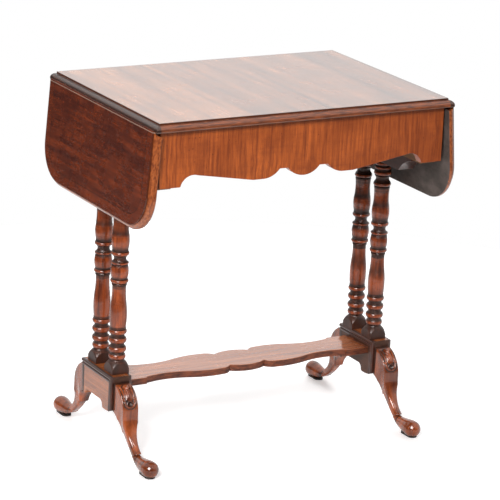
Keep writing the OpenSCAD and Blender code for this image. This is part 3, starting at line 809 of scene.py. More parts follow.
MOULDING = Mahogany(
    "moulding", (0.090, 0.021, 0.008), (0.018, 0.005, 0.003), Along.DEPTH, polish=0.45, seed=11.0)
LEG = Mahogany(
    "leg mahogany", (0.54, 0.115, 0.023), (0.046, 0.008, 0.004), Along.HEIGHT, streak=0.017,
    contrast=1.5, blotch=1.2, dullness=0.19, seed=13.0, soiled_and_shaded=True)
SHELF = ShelfVeneer(
    "shelf veneer", (0.64, 0.215, 0.080), (0.24, 0.066, 0.025), Along.LENGTH, contrast=1.3,
    polish=1.0, dullness=0.26, seed=15.0)
PINE = Mahogany(
    "old pine", (0.26, 0.13, 0.055), (0.15, 0.070, 0.030), Along.DEPTH, polish=0.0, dullness=0.7)
BRASS = Metal("aged brass", (0.55, 0.38, 0.15), (0.16, 0.10, 0.04))
STEEL = Metal("dull steel", (0.32, 0.31, 0.30), (0.10, 0.08, 0.07))
PAD = PadLeather("pad leather")


def mesh_object(name: str, points: Sequence, faces: Sequence) -> bpy.types.Object:
    """Makes a mesh object at the origin.

    Args:
        name: The name of the object and its mesh.
        points: The points, in metres.
        faces: The indices of each face's points; empty for loose points.

    Returns:
        The new object.
    """
    mesh = bpy.data.meshes.new(name)
    mesh.from_pydata([tuple(p) for p in points], [], [tuple(f) for f in faces])
    mesh.update()
    made = bpy.data.objects.new(name, mesh)
    bpy.context.scene.collection.objects.link(made)
    return made


def settle(piece: bpy.types.Object) -> bpy.types.Object:
    """Turns a piece with modifiers into a plain mesh.

    Args:
        piece: The piece.

    Returns:
        The same piece, with what the modifiers made as its mesh.
    """
    graph = bpy.context.evaluated_depsgraph_get()
    plain = bpy.data.meshes.new_from_object(piece.evaluated_get(graph))
    old = piece.data
    piece.modifiers.clear()
    piece.data = plain
    bpy.data.meshes.remove(old)
    return piece


def body_of(node: str) -> str:
    """The body that holds a solid."""
    return frame["nodes"][node].parent.name.removeprefix("body:")


def slot_of(node: str) -> str:
    """The record's material slot of a solid."""
    rows = frame["record"]["subparts"]
    return next(row["material_slot"] for row in rows if row["node"] == node)


def named(*words: str) -> list[str]:
    """The solids whose names hold one of the words."""
    return sorted(n for n in frame["nodes"] if any(w in n for w in words))


def softened(node: str, width: float, corner: float = 35.0) -> bpy.types.Object:
    """A copy of a solid with softened arrises.

    Args:
        node: The solid's name.
        width: The width of the softening in metres, or 0 for none.
        corner: The least angle between faces, in degrees, that counts as an arris.

    Returns:
        The new piece, named after the solid.
    """
    mesh = bmesh.new()
    mesh.from_mesh(frame["nodes"][node].data)
    bmesh.ops.remove_doubles(mesh, verts=mesh.verts, dist=WELD)
    bmesh.ops.dissolve_limit(mesh, angle_limit=FLAT, verts=mesh.verts, edges=mesh.edges)
    points = [v.co[:] for v in mesh.verts]
    faces = [[v.index for v in f.verts] for f in mesh.faces]
    mesh.free()
    piece = mesh_object(node + "_piece", points, faces)
    piece.data.shade_smooth()
    if width > 0:
        bevel = piece.modifiers.new("arris", "BEVEL")
        bevel.width = width
        bevel.segments = 2
        bevel.limit_method = "ANGLE"
        bevel.angle_limit = math.radians(corner)
        bevel.miter_outer = "MITER_ARC"
        weigh = piece.modifiers.new("flats", "WEIGHTED_NORMAL")
        weigh.keep_sharp = False
        settle(piece)
        piece.data.set_sharp_from_angle(angle=SHARP)
    else:
        piece.data.set_sharp_from_angle(angle=math.radians(corner))
    return piece


def rings_mesh(name: str, rings: np.ndarray) -> bpy.types.Object:
    """A closed skin over a row of rings.

    Args:
        name: The object's name.
        rings: Points in metres, as rings by points by 3.

    Returns:
        The new object, with smooth shading and capped ends.
    """
    count, sides, _ = rings.shape
    faces: list[tuple[int, ...]] = []
    for i in range(count - 1):
        a, b = i * sides, (i + 1) * sides
        pairs = [(j, (j + 1) % sides) for j in range(sides)]
        faces += [(a + j, a + k, b + k, b + j) for j, k in pairs]
    faces.append(tuple(range(sides))[::-1])
    faces.append(tuple((count - 1) * sides + j for j in range(sides)))
    made = mesh_object(name, rings.reshape(-1, 3), faces)
    volume = bmesh.new()
    volume.from_mesh(made.data)
    if volume.calc_volume(signed=True) < 0:
        bmesh.ops.reverse_faces(volume, faces=volume.faces)
        volume.to_mesh(made.data)
    volume.free()
    made.data.shade_smooth()
    return made


def paint(piece: bpy.types.Object, name: str, values: np.ndarray) -> None:
    """Stores a number, or a vector, for each point of a piece.

    Args:
        piece: The piece.
        name: The attribute's name.
        values: One number or three for each point, in the mesh's order.
    """
    kind, key = ("FLOAT", "value") if values.ndim == 1 else ("FLOAT_VECTOR", "vector")
    layer = piece.data.attributes.new(name, kind, "POINT")
    layer.data.foreach_set(key, np.ascontiguousarray(values, dtype=np.float32).ravel())


def ramp(value: np.ndarray, low: float, high: float) -> np.ndarray:
    """Runs straight from 0 at low to 1 at high; low may be the larger one."""
    return np.clip((value - low) / (high - low), 0, 1)


def bowl(value: np.ndarray, width: float) -> np.ndarray:
    """A round from 1 at 0 to 0 at the width and beyond."""
    return np.clip(1 - (value / width) ** 2, 0, 1)


def hump(value: np.ndarray, width: float) -> np.ndarray:
    """A bell from 1 at 0 that has nearly gone at twice the width."""
    return np.exp(-(value / width) ** 2)


def ease(value: np.ndarray, low: float, high: float) -> np.ndarray:
    """Runs smoothly from 0 at low to 1 at high."""
    share = ramp(value, low, high)
    return share ** 2 * (3 - 2 * share)


def points_of(piece: bpy.types.Object) -> np.ndarray:
    """The piece's points as an array.

    Args:
        piece: The piece.

    Returns:
        A row of x, y and z in metres for each point.
    """
    flat = np.empty(len(piece.data.vertices) * 3)
    piece.data.vertices.foreach_get("co", flat)
    return flat.reshape(-1, 3)


@dataclass
class Assembly:
    """A sub-assembly of the table, which knows how to dress its pieces."""

    def dress(self, piece: bpy.types.Object, finish: Finish, node: str) -> None:
        """Gives a piece its finish and its place.

        Args:
            piece: The finished mesh object.
            finish: Its finish.
            node: The solid that it stands for.
        """
        body = body_of(node)
        piece.data.materials.clear()
        piece.data.materials.append(material_of(finish))
        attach(piece, body)
        slot_of(node)
        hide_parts(node)
        LOG.info("%s: %d faces, on %s", piece.name, len(piece.data.polygons), body)

    def soften(self, nodes: Sequence[str], finish: Finish, arris: float) -> None:
        """Dresses solids that keep their form.

        Args:
            nodes: The solids' names.
            finish: Their finish.
            arris: The width of their softened arrises in metres, or 0 for sharp ones.
        """
        for node in nodes:
            self.dress(softened(node, arris), finish, node)

    def build(self) -> None:
        """Builds and dresses every piece."""
        raise NotImplementedError


@dataclass
class Tabletop(Assembly):
    """The fixed top."""

    arris: float = 0.0008

    def build(self) -> None:
        """Dresses the top."""
        self.soften(["tabletop"], TOP, self.arris)


@dataclass
class Leaf(Assembly):
    """A hanging leaf. Its finish follows its own plane, so each point keeps its raised place."""

    node: str
    side: int
    lean: float
    pin: tuple[float, float] = (0.3215, 0.7065)
    arris: float = 0.0007

    def lay(self, points: np.ndarray) -> np.ndarray:
        """The points as they lie when the leaf is raised, measured from the pin.

        Args:
            points: Points of the hanging leaf, in metres.

        Returns:
            The distance from the pin, the place along the joint and the height of each.
        """
        turn = math.radians(90.0 - self.lean)
        out = points[:, 0] * self.side - self.pin[0]
        up = points[:, 2] - self.pin[1]
        flat = out * math.cos(turn) - up * math.sin(turn)
        rise = out * math.sin(turn) + up * math.cos(turn)
        return np.stack([flat, points[:, 1], rise], axis=1)

    def build(self) -> None:
        """Builds and dresses the leaf."""
        piece = softened(self.node, self.arris)
        paint(piece, "lay", self.lay(points_of(piece)))
        self.dress(piece, LEAF, self.node)


@dataclass
class Carcase(Assembly):
    """The frame under the top: aprons, bearers, rails, fly brackets and glued blocks."""

    arris: float = 0.0006
    bearer_arris: float = 0.0004

    def build(self) -> None:
        """Dresses the frame."""
        rails = named("inner_rail", "fly_rail", "fly_bracket", "corner_blocks", "top_blocks")
        self.soften(named("apron"), APRON, self.arris)
        self.soften(named("column_bearer"), MOULDING, self.bearer_arris)
        self.soften(rails, PINE, self.arris)


@dataclass
class Column(Assembly):
    """A turned column on a square foot, turned here in one piece. All sizes in millimetres.

    Its soil lies in the grooves and around the foot. Painted shade is added to it high up, under
    the top, and all the way down at the right end.
    """

    node: str
    side: int
    end: int
    out: float = 299.0
    apart: float = 37.0
    foot_z: float = 165.0
    height: float = 385.0
    middle: float = 0.496
    square: float = 37.0
    bell: float = 0.72
    tenon: tuple[float, float] = (8.0, 20.0)
    turns: int = 72
    facet: float = 1.6
    sharp: float = 38.0
    groove_reach: float = 7.0
    groove_depth: float = 2.6
    crest: float = 18.0
    # heights over which painted shade from the top grows
    high: tuple[float, float] = (190.0, 340.0)
    low: tuple[float, float] = (32.0, 20.0)
    # painted shade: the right-hand columns are darker all the way down
    right_shade: float = 0.9

    def turnings(self) -> list[tuple[float, float, float]]:
        """Heights over the block, radii, and the bulge from each to the next.

        Returns:
            A row of the three for each mark.
        """
        m, t = self.height * self.middle, self.height
        bell = self.square * self.bell
        return [
            (0, bell, 0), (8, bell, 1.4), (24, 16.6, 0), (26, 14.4, 0), (27.5, 13.9, 3.3),
            (40.5, 13.9, 0), (43.1, 13.8, 4.5), (56.5, 13.8, 0), (61.5, 13.4, 4.9), (75.5, 13.4, 0),
            (80.5, 14.1, 4.2), (92, 14.1, 0), (92.1, 16.4, 0), (95, 16.4, 0), (95.1, 15.9, 1.5),
            (0.6 * 95 + 0.4 * m + 9, 16.1, -0.7), (m - 9, 13.9, 0), (m - 8.9, 15.2, 0),
            (m - 6, 15.2, 0), (m - 4.5, 14.2, 4), (m + 4, 14.2, 0), (m + 4.1, 15.6, 2.5),
            (m + 34, 15.6, 0), (m + 34.6, 15.8, 2), (m + 39, 15.8, 0), (m + 39.5, 15, -2.6),
            (m + 52, 14.8, 0), (m + 52.1, 14.6, 3.7), (m + 61, 14.6, 0), (m + 61.1, 16.3, 0),
            (m + 64, 16.3, 0), (m + 64.1, 15.9, 2), ((m + t) / 2 + 1, 16.5, -0.9), (t - 61, 16, 0),
            (t - 60.9, 16.4, 0), (t - 58, 16.4, 0), (t - 57, 14.6, 3.7), (t - 47.5, 14.6, 0),
            (t - 47.4, 16.5, -3), (t - 34.5, 16.5, 0), (t - 34, 14.6, 3.7), (t - 23, 14.6, 0),
            (t - 20.5, 14.6, 2.9), (t - 13.5, 14.6, 0), (t - 12, 14.6, 2.9), (t - 4, 14.6, 0),
            (t - 3.9, 15.5, 0), (t, 15.5, 0),
        ]

    def profile(self) -> np.ndarray:
        """Radius and height of each ring, with the arcs between the turnings.

        Returns:
            A row of the two for each ring.
        """
        marks = self.turnings()
        rows: list[tuple[float, float]] = []
        for (z0, r0, bulge), (z1, r1, _) in zip(marks, marks[1:]):
            chord = math.hypot(r1 - r0, z1 - z0)
            steps = max(6, int(chord / self.facet)) if bulge else 1
            normal = ((z1 - z0) / chord, (r0 - r1) / chord)
            for f in (k / steps for k in range(steps)):
                sag = 0.0
                if bulge:
                    arc = chord ** 2 / (8 * abs(bulge)) + abs(bulge) / 2
                    rise = math.sqrt(arc ** 2 - ((f - 0.5) * chord) ** 2) - arc + abs(bulge)
                    sag = math.copysign(rise, bulge)
                rows.append((r0 + (r1 - r0) * f + normal[0] * sag,
                             z0 + (z1 - z0) * f + normal[1] * sag))
        rows.append((marks[-1][1], marks[-1][0]))
        return np.array(rows)

    def soil(self, radius: np.ndarray, z: np.ndarray) -> np.ndarray:
        """How much soil and painted shade each ring has, from its radius and height.

        Args:
            radius: The rings' radii.
            z: Their heights over the block.

        Returns:
            A value for each ring.
        """
        near = np.abs(z[:, None] - z[None, :]) < self.groove_reach
        crest = np.where(near, np.minimum(radius, self.crest)[None, :], 0).max(axis=1)
        # painted shade: darker high up under the top, and over the whole of a right-hand column
        dim = np.maximum(ramp(z, *self.high), self.right_shade if self.side > 0 else 0)
        grooves = np.clip((crest - radius) / self.groove_depth, 0, 1.2)
        return grooves + 0.26 * dim + 0.75 * ramp(z, *self.low)

    def build(self) -> None:
        """Turns and dresses the column."""
        radius, z = self.profile().T
        soil = np.concatenate([[0, 0], self.soil(radius, z), [0, 0]])
        r, length = self.tenon
        radius = np.concatenate([[r], [r], radius, [r], [r]])
        z = np.concatenate([[-length], [0], z, [self.height], [self.height + length]])
        angle = np.arange(self.turns) * 2 * math.pi / self.turns
        half = self.square / 2
        x = np.clip(radius[:, None] * np.cos(angle), -half, half) + self.out * self.side
        y = np.clip(radius[:, None] * np.sin(angle), -half, half) + self.apart * self.end
        height = np.broadcast_to((z + self.foot_z)[:, None], x.shape)
        piece = rings_mesh(self.node + "_piece", np.stack([x, y, height], axis=2) * MM)
        piece.data.set_sharp_from_angle(angle=math.radians(self.sharp))
        paint(piece, "soil", np.repeat(soil, self.turns))
        self.dress(piece, COLUMN, self.node)


@dataclass(frozen=True)
class Carving:
    """The carved front of a knee, in millimetres.

    Places are x from the middle line and s down the front from the block. A rim with a ditch
    around it frames a sunk field. A boss, a tongue and reeds stand in the field over a hollow eye,
    and lugs and flutes flank it. Pairs named _s are where a form starts or ends.
    """

    rim_foot: float = 52.4
    rim_r: float = 10.6
    rim_w: float = 1.25
    rim_h: float = 1.9
    ditch_out: float = 3.2
    ditch_w: float = 1.5
    sunk: float = 0.9
    field_s: tuple[float, float] = (12.0, 26.0)
    field_edge: tuple[float, float] = (1.0, 2.6)
    tongue_s: tuple[float, float] = (20.0, 26.0)
    tongue_half: float = 7.4
    tongue_h: float = 2.2
    reeds_s: tuple[float, float] = (26.0, 42.0)
    reed_pitch: float = 3.9
    reed_half: float = 8.6
    eye_s: float = 56.0
    eye_r: float = 5.4
    eye_deep: float = 3.4
    lip_r: float = 6.0
    lip: float = 0.8
    boss_s: float = 19.9
    boss_r: float = 7.0
    boss_h: float = 5.2
    moat_r: float = 8.2
    lug: tuple[float, float] = (12.4, 46.0)
    lug_r: float = 3.6
    lug_h: float = 1.3
    flute_x: float = 13.6
    flute_slope: float = 0.09
    flute_w: float = 0.9
    flute_deep: float = 0.8

    def heights(self, x: np.ndarray, s: float) -> np.ndarray:
        """How far the carved skin stands out.

        Args:
            x: Distances from the middle line.
            s: Length down the front line from the block.

        Returns:
            The heights, below 0 for hollows.
        """
        foot = self.rim_foot + self.rim_r
        reach = np.hypot(x, max(0.0, s - self.rim_foot)) - self.rim_r
        begin = ease(s, *self.field_s)
        rim = self.rim_h * hump(reach, self.rim_w)
        rim = rim - self.sunk * hump(reach - self.ditch_out, self.ditch_w)
        inside = ease(-reach, *self.field_edge) * begin
        tip = self.eye_s - self.lip_r
        tongue = bowl(x, self.tongue_half) * (1 - ease(s, tip - 9, tip)) * ease(s, *self.tongue_s)
        first, last = self.reeds_s
        reeds = np.abs(np.cos(math.pi * x / self.reed_pitch)) - 0.5
        reeds *= np.clip(1 - (x / self.reed_half) ** 4, 0, 1)
        pit = np.hypot(x, s - self.eye_s)
        knob = np.hypot(x, s - self.boss_s)
        lug = np.hypot(np.abs(x) - self.lug[0], s - self.lug[1])
        flute = hump(np.abs(x) - self.flute_x + self.flute_slope * (s - 30), self.flute_w)
        return (
            rim * begin * (1 - ease(s, foot + 3, foot + 5))
            + (self.tongue_h * np.sqrt(tongue) - self.sunk) * inside
            + reeds * ease(s, 18, first) * (1 - ease(s, last - 6, last + 4))
            + self.lip * hump(pit - self.lip_r, self.lip) - self.eye_deep * bowl(pit, self.eye_r)
            + self.boss_h * np.sqrt(bowl(knob, self.boss_r))
            - self.sunk * hump(knob - self.moat_r, 1)
            + self.lug_h * bowl(lug, self.lug_r)
            - self.flute_deep * flute * ease(s, 6, 14) * (1 - ease(s, 42, 62))
        )


@dataclass
class CabrioleLeg(Assembly):
    """A cabriole leg with a carved knee and a slipper toe. All sizes in millimetres.

    The leg is a skin over rings between its front line and its heel line. Its circles are given as
    the centre's y and z and the radius.
    """

    node: str
    side: int
    end: int
    carving: Carving = Carving()
    block_x: float = 302.5
    block_y: float = 67.0
    half: float = 17.0
    ankle: float = 8.5
    ankle_z: float = 30.0
    full_z: float = 84.0
    knee: tuple[float, float, float] = (62.5, 103.0, 50.0)
    sweep: tuple[float, float, float] = (197.5, 103.0, 85.0)
    arch: tuple[float, float, float] = (60.0, 58.0, 36.0)
    heel: tuple[float, float, float] = (205.0, 127.5, 125.0)
    front_s: tuple[float, ...] = (0.0, 37.0, 74.0, 109.0)
    heel_s: tuple[float, ...] = (0.0, 20.0, 32.0, 55.0, 102.0)
    carved_s: float = 72.0
    carved_step: float = 0.6
    face_points: int = 60
    crown: float = 0.9
    crease_y: float = 153.0
    neck_r: float = 10.2
    neck_in: float = 14.0
    neck_taper: float = 0.16
    neck_rise: float = 0.0096
    neck_rise_y: float = 165.0
    toe_y: float = 203.0
    toe_r: float = 17.0
    toe_long: float = 6.0
    toe_z: float = 16.5
    toe_sides: int = 56
    sole_z: float = 3.0
    sole_soft: float = 1.2
    # painted shade: the right-hand legs are darker all over
    right_shade: float = 0.16

    def front(self, s: float) -> tuple[np.ndarray, np.ndarray]:
        """The front line's point and outward normal, in y and z, at a length from the block.

        Args:
            s: The length down the line from the block.

        Returns:
            The point and the normal.
        """
        cy, cz, r = self.knee
        start = math.acos((self.block_y - cy) / r)
        if s < start * r:
            a = start - s / r
            way = np.array([math.cos(a), math.sin(a)])
            return np.array([cy, cz]) + r * way, way
        ky, kz, big = self.sweep
        b = (s - start * r) / big
        way = np.array([math.cos(b), math.sin(b)])
        return np.array([ky, kz]) - big * way, way

    def back(self, s: float) -> np.ndarray:
        """The heel line's point, in y and z, at a length from the block.

        Args:
            s: The length down the line from the block.

        Returns:
            The point.
        """
        ay, az, r = self.arch
        hy, hz, big = self.heel
        start = math.acos((self.block_y - ay) / r)
        turn = start - s / r
        y, z = ay + r * math.cos(turn), az + r * math.sin(turn)
        if math.hypot(y - hy, z - hz) > big and turn > 0:
            return np.array([y, z])
        apart = math.hypot(hy - ay, hz - az)
        tilt = math.atan2(hz - az, hy - ay)
        meet = math.acos((apart ** 2 + r ** 2 - big ** 2) / (2 * apart * r))
        leave = tilt + meet
        if leave > start:
            leave = tilt - meet
        gone = s - (start - leave) * r
        my, mz = ay + r * math.cos(leave), az + r * math.sin(leave)
        down = math.atan2(hz - mz, hy - my) + gone / big
        return np.array([hy - big * math.cos(down), hz - big * math.sin(down)])

    def width(self, z: float) -> float:
        """Half of the leg's width at a height.

        Args:
            z: The height.

        Returns:
            Half of the width.
        """
        bite = self.half - self.ankle
        rise = self.full_z - self.ankle_z
        r = (rise ** 2 + bite ** 2) / (2 * bite)
        drop = math.sqrt(r ** 2 - min(abs(z - self.ankle_z), rise) ** 2)
        return min(self.half, self.ankle + r - drop)

    @staticmethod
    def bend(x: float, y: float, r: float, start: float) -> np.ndarray:
        """A quarter turn clockwise around a corner's centre, without its first point."""
        turn = math.radians(start) - np.linspace(0, math.pi / 2, 8)[1:]
        return np.column_stack([x + r * np.cos(turn), y + r * np.sin(turn)])

    @staticmethod
    def level(x0: float, x1: float, y: float, count: int) -> np.ndarray:
        """Points from x0 to x1 at one y."""
        return np.column_stack([np.linspace(x0, x1, count), np.full(count, y)])

    def section(self, s: float, heel_s: float) -> tuple[np.ndarray, np.ndarray]:
        """One ring of the leg.

        Args:
            s: Length down the front line.
            heel_s: Length down the heel line.

        Returns:
            The points as x, y, z, and how deep the carving lies under each.
        """
        top, normal = self.front(s)
        low = self.back(heel_s)
        span = float(np.linalg.norm(top - low))
        axis = (top - low) / span
        wide, tail = self.width(float(top[1])), self.width(float(low[1]))
        r_top = min(2.2 + 4.4 * float(ramp(s, 62, 142)), wide * 0.8, span * 0.45)
        r_low = min(1.2 + 4.0 * float(ramp(s, 40, 130)), tail * 0.7, span * 0.45)
        upper, lower = np.array([wide, span - r_top]), np.array([tail, r_low])
        share = np.linspace(0, 1, 10)[1:, None]
        face = self.face_points
        flat = np.concatenate([
            self.level(r_top - wide, wide - r_top, span, face),
            self.bend(wide - r_top, span - r_top, r_top, 90),
            upper + (lower - upper) * share,
            self.bend(tail - r_low, r_low, r_low, 0),
            self.level(tail - r_low, r_low - tail, 0.0, 14)[1:],
            self.bend(r_low - tail, r_low, r_low, 270),
            (lower + (upper - lower) * share) * (-1, 1),
            self.bend(r_top - wide, span - r_top, r_top, 180)[:-1],
        ])
        out = np.zeros(len(flat))
        out[:face] = self.carving.heights(flat[:face, 0], s)
        moved = out.copy()
        moved[:face] += self.crown * bowl(flat[:face, 0], max(wide - r_top, 1)) * min(1.0, s / 20)
        yz = low[None, :] + axis[None, :] * flat[:, 1:2] + normal[None, :] * moved[:, None]
        return np.column_stack([flat[:, 0], yz]), out

    def shin(self) -> tuple[np.ndarray, np.ndarray]:
        """The rings from the block to the crease, and the carving's depth at each point.

        Returns:
            The points as rings by points by 3, and the depth at each.
        """
        ky, _, big = self.sweep
        knee_s = math.acos((self.block_y - self.knee[0]) / self.knee[2]) * self.knee[2]
        total = knee_s + math.acos((ky - self.crease_y) / big) * big
        carved = np.arange(0, self.carved_s, self.carved_step)
        ways = np.concatenate([carved, np.linspace(self.carved_s, total, 54)])
        pairs = np.interp(ways, [*self.front_s, total], self.heel_s)
        made = [self.section(float(s), float(h)) for s, h in zip(ways, pairs)]
        return np.array([m[0] for m in made]), np.array([m[1] for m in made])

    def toe_radius(self, y: float, touch: float, at_touch: float) -> float:
        """The toe's radius at a place along it.

        Args:
            y: The place.
            touch: Where the straight neck touches the round of the toe.
            at_touch: The radius there.

        Returns:
            The radius.
        """
        if y < self.crease_y:
            return self.neck_r - self.neck_taper * (self.crease_y - y)
        if y < touch:
            grown = (at_touch - self.neck_r) * (y - self.crease_y)
            return self.neck_r + grown / (touch - self.crease_y)
        past = max(self.toe_y - self.toe_long - y, y - self.toe_y, 0.0)
        return math.sqrt(max(0.0, self.toe_r ** 2 - past ** 2))

    def toe(self) -> np.ndarray:
        """The rings of the slipper toe, from inside the ankle to its tip.

        Returns:
            The points as rings by points by 3.
        """
        run = self.toe_y - self.toe_long - self.crease_y
        slope = math.asin(self.toe_r / math.hypot(run, self.neck_r)) - math.atan2(self.neck_r, run)
        touch = self.toe_y - self.toe_long - self.toe_r * math.sin(slope)
        ys = np.concatenate([
            np.linspace(self.crease_y - self.neck_in, touch, 26),
            np.linspace(touch, self.toe_y, 10)[1:],
            self.toe_y + self.toe_r * np.sin(np.linspace(0, math.pi / 2, 16))[1:] * 0.9995,
        ])
        angle = np.arange(self.toe_sides) * 2 * math.pi / self.toe_sides
        hy, hz, big = self.heel
        rings = []
        for y in ys:
            r = self.toe_radius(y, touch, self.toe_r * math.cos(slope))
            middle = self.toe_z + self.neck_rise * max(0.0, self.neck_rise_y - y) ** 2
            floor = max(self.sole_z, hz - math.sqrt(big ** 2 - (hy - y) ** 2))
            z = (middle + r * np.sin(angle) - floor) / self.sole_soft
            z = np.minimum(floor + np.logaddexp(0, z) * self.sole_soft, middle + r)
            rings.append(np.column_stack([r * np.cos(angle), np.full(self.toe_sides, y), z]))
        return np.array(rings)

    def place(self, points: np.ndarray) -> np.ndarray:
        """Moves points of a back right leg to this leg's corner, in metres."""
        return (points + (self.block_x, 0, 0)) * (self.side * MM, self.end * MM, MM)

    def build(self) -> None:
        """Builds and dresses the leg and its toe."""
        rings, depth = self.shin()
        leg = rings_mesh(self.node + "_piece", self.place(rings))
        soil = np.clip(-depth / 0.9, 0, 1.3) - ramp(depth, 1.0, 2.6)
        length = np.linspace(0, 1, len(rings))[:, None]
        soil = np.maximum(soil, np.where(length < 0.12, 1.2 - 10 * length, 0))
        # painted shade over the whole of a right-hand leg
        soil += self.right_shade if self.side > 0 else 0.0
        paint(leg, "soil", soil.ravel())
        ball = self.toe()
        toe = rings_mesh(self.node + "_toe", self.place(ball))
        near = ramp(np.abs(ball[:, :, 1] - self.crease_y - 1), 3.0, 0.0)
        under = ramp(ball[:, :, 2] - self.sole_z, 4.0, 0.0) * 0.8
        paint(toe, "soil", np.maximum(near, under).ravel())
        self.dress(leg, LEG, self.node)
        self.dress(toe, LEG, self.node)


@dataclass
class Pedestal(Assembly):
    """One end's block with its mouldings, columns, legs and the pads under the toes."""

    side: int
    arris: float = 0.0006
    fine_arris: float = 0.0004

    def build(self) -> None:
        """Builds and dresses the pedestal."""
        word = "left" if self.side < 0 else "right"
        self.soften([f"{word}_block"], BLOCK, self.arris)
        self.soften(named(f"{word}_block_"), MOULDING, self.fine_arris)
        for name, end in (("front", -1), ("back", 1)):
            Column(f"column_{name}_{word}", self.side, end).build()
            CabrioleLeg(f"leg_{name}_{word}", self.side, end).build()
            self.soften([f"foot_pad_{name}_{word}"], PAD, self.fine_arris)


@dataclass
class Undershelf(Assembly):
    """The shaped shelf between the pedestals."""

    arris: float = 0.001

    def build(self) -> None:
        """Dresses the shelf."""
        self.soften(["undershelf"], SHELF, self.arris)


def points_tree() -> tuple[bpy.types.NodeTree, dict[str, str]]:
    """A node tree that sets one piece on every point of a mesh, along the point's "way".

    Returns:
        The tree, and the identifier of each of its named inputs.
    """
    made = bpy.data.node_groups.new("set on points", "GeometryNodeTree")
    kinds = {"Geometry": "Geometry", "Piece": "Object", "Finish": "Material", "Seed": "Int"}
    names: dict[str, str] = {}
    for name, kind in kinds.items():
        socket = made.interface.new_socket(
            name, in_out="INPUT", socket_type="NodeSocket" + kind)
        names[name] = socket.identifier
    made.interface.new_socket(
        "Geometry", in_out="OUTPUT", socket_type="NodeSocketGeometry")
    tree = Tree(made)
    given = tree.node("NodeGroupInput").outputs
    piece = tree.node(
        "GeometryNodeObjectInfo", inputs={"Object": given["Piece"], "As Instance": True})
    way = tree.node(
        "GeometryNodeInputNamedAttribute", {"data_type": "FLOAT_VECTOR"}, {"Name": "way"})
    aligned = tree.node(
        "FunctionNodeAlignRotationToVector", {"axis": "Z"}, {"Vector": way.outputs["Attribute"]})
    turn = tree.node(
        "FunctionNodeRandomValue", {"data_type": "FLOAT"},
        {2: 0.0, 3: 2 * math.pi, "Seed": given["Seed"]})
    spin = tree.node(
        "FunctionNodeAxisAngleToRotation",
        inputs={"Axis": (0, 0, 1), "Angle": turn.outputs[1]})
    turned = tree.node(
        "FunctionNodeRotateRotation", {"rotation_space": "LOCAL"},
        {"Rotation": aligned.outputs[0], "Rotate By": spin.outputs[0]})
    copies = tree.node("GeometryNodeInstanceOnPoints", inputs={
        "Points": given["Geometry"], "Instance": piece.outputs["Geometry"],
        "Rotation": turned.outputs[0]})
    real = tree.node("GeometryNodeRealizeInstances", inputs={0: copies.outputs[0]})
    clad = tree.node(
        "GeometryNodeSetMaterial",
        inputs={"Geometry": real.outputs[0], "Material": given["Finish"]})
    tree.node("NodeGroupOutput", inputs={0: clad.outputs[0]})
    return made, names


@dataclass
class Hardware(Assembly):
    """Hinge plates and pins."""

    def build(self) -> None:
        """Dresses the metal."""
        self.soften(named("hinge_plate", "leaf_plate"), BRASS, 0.0)
        self.soften(named("pin"), STEEL, 0.0)


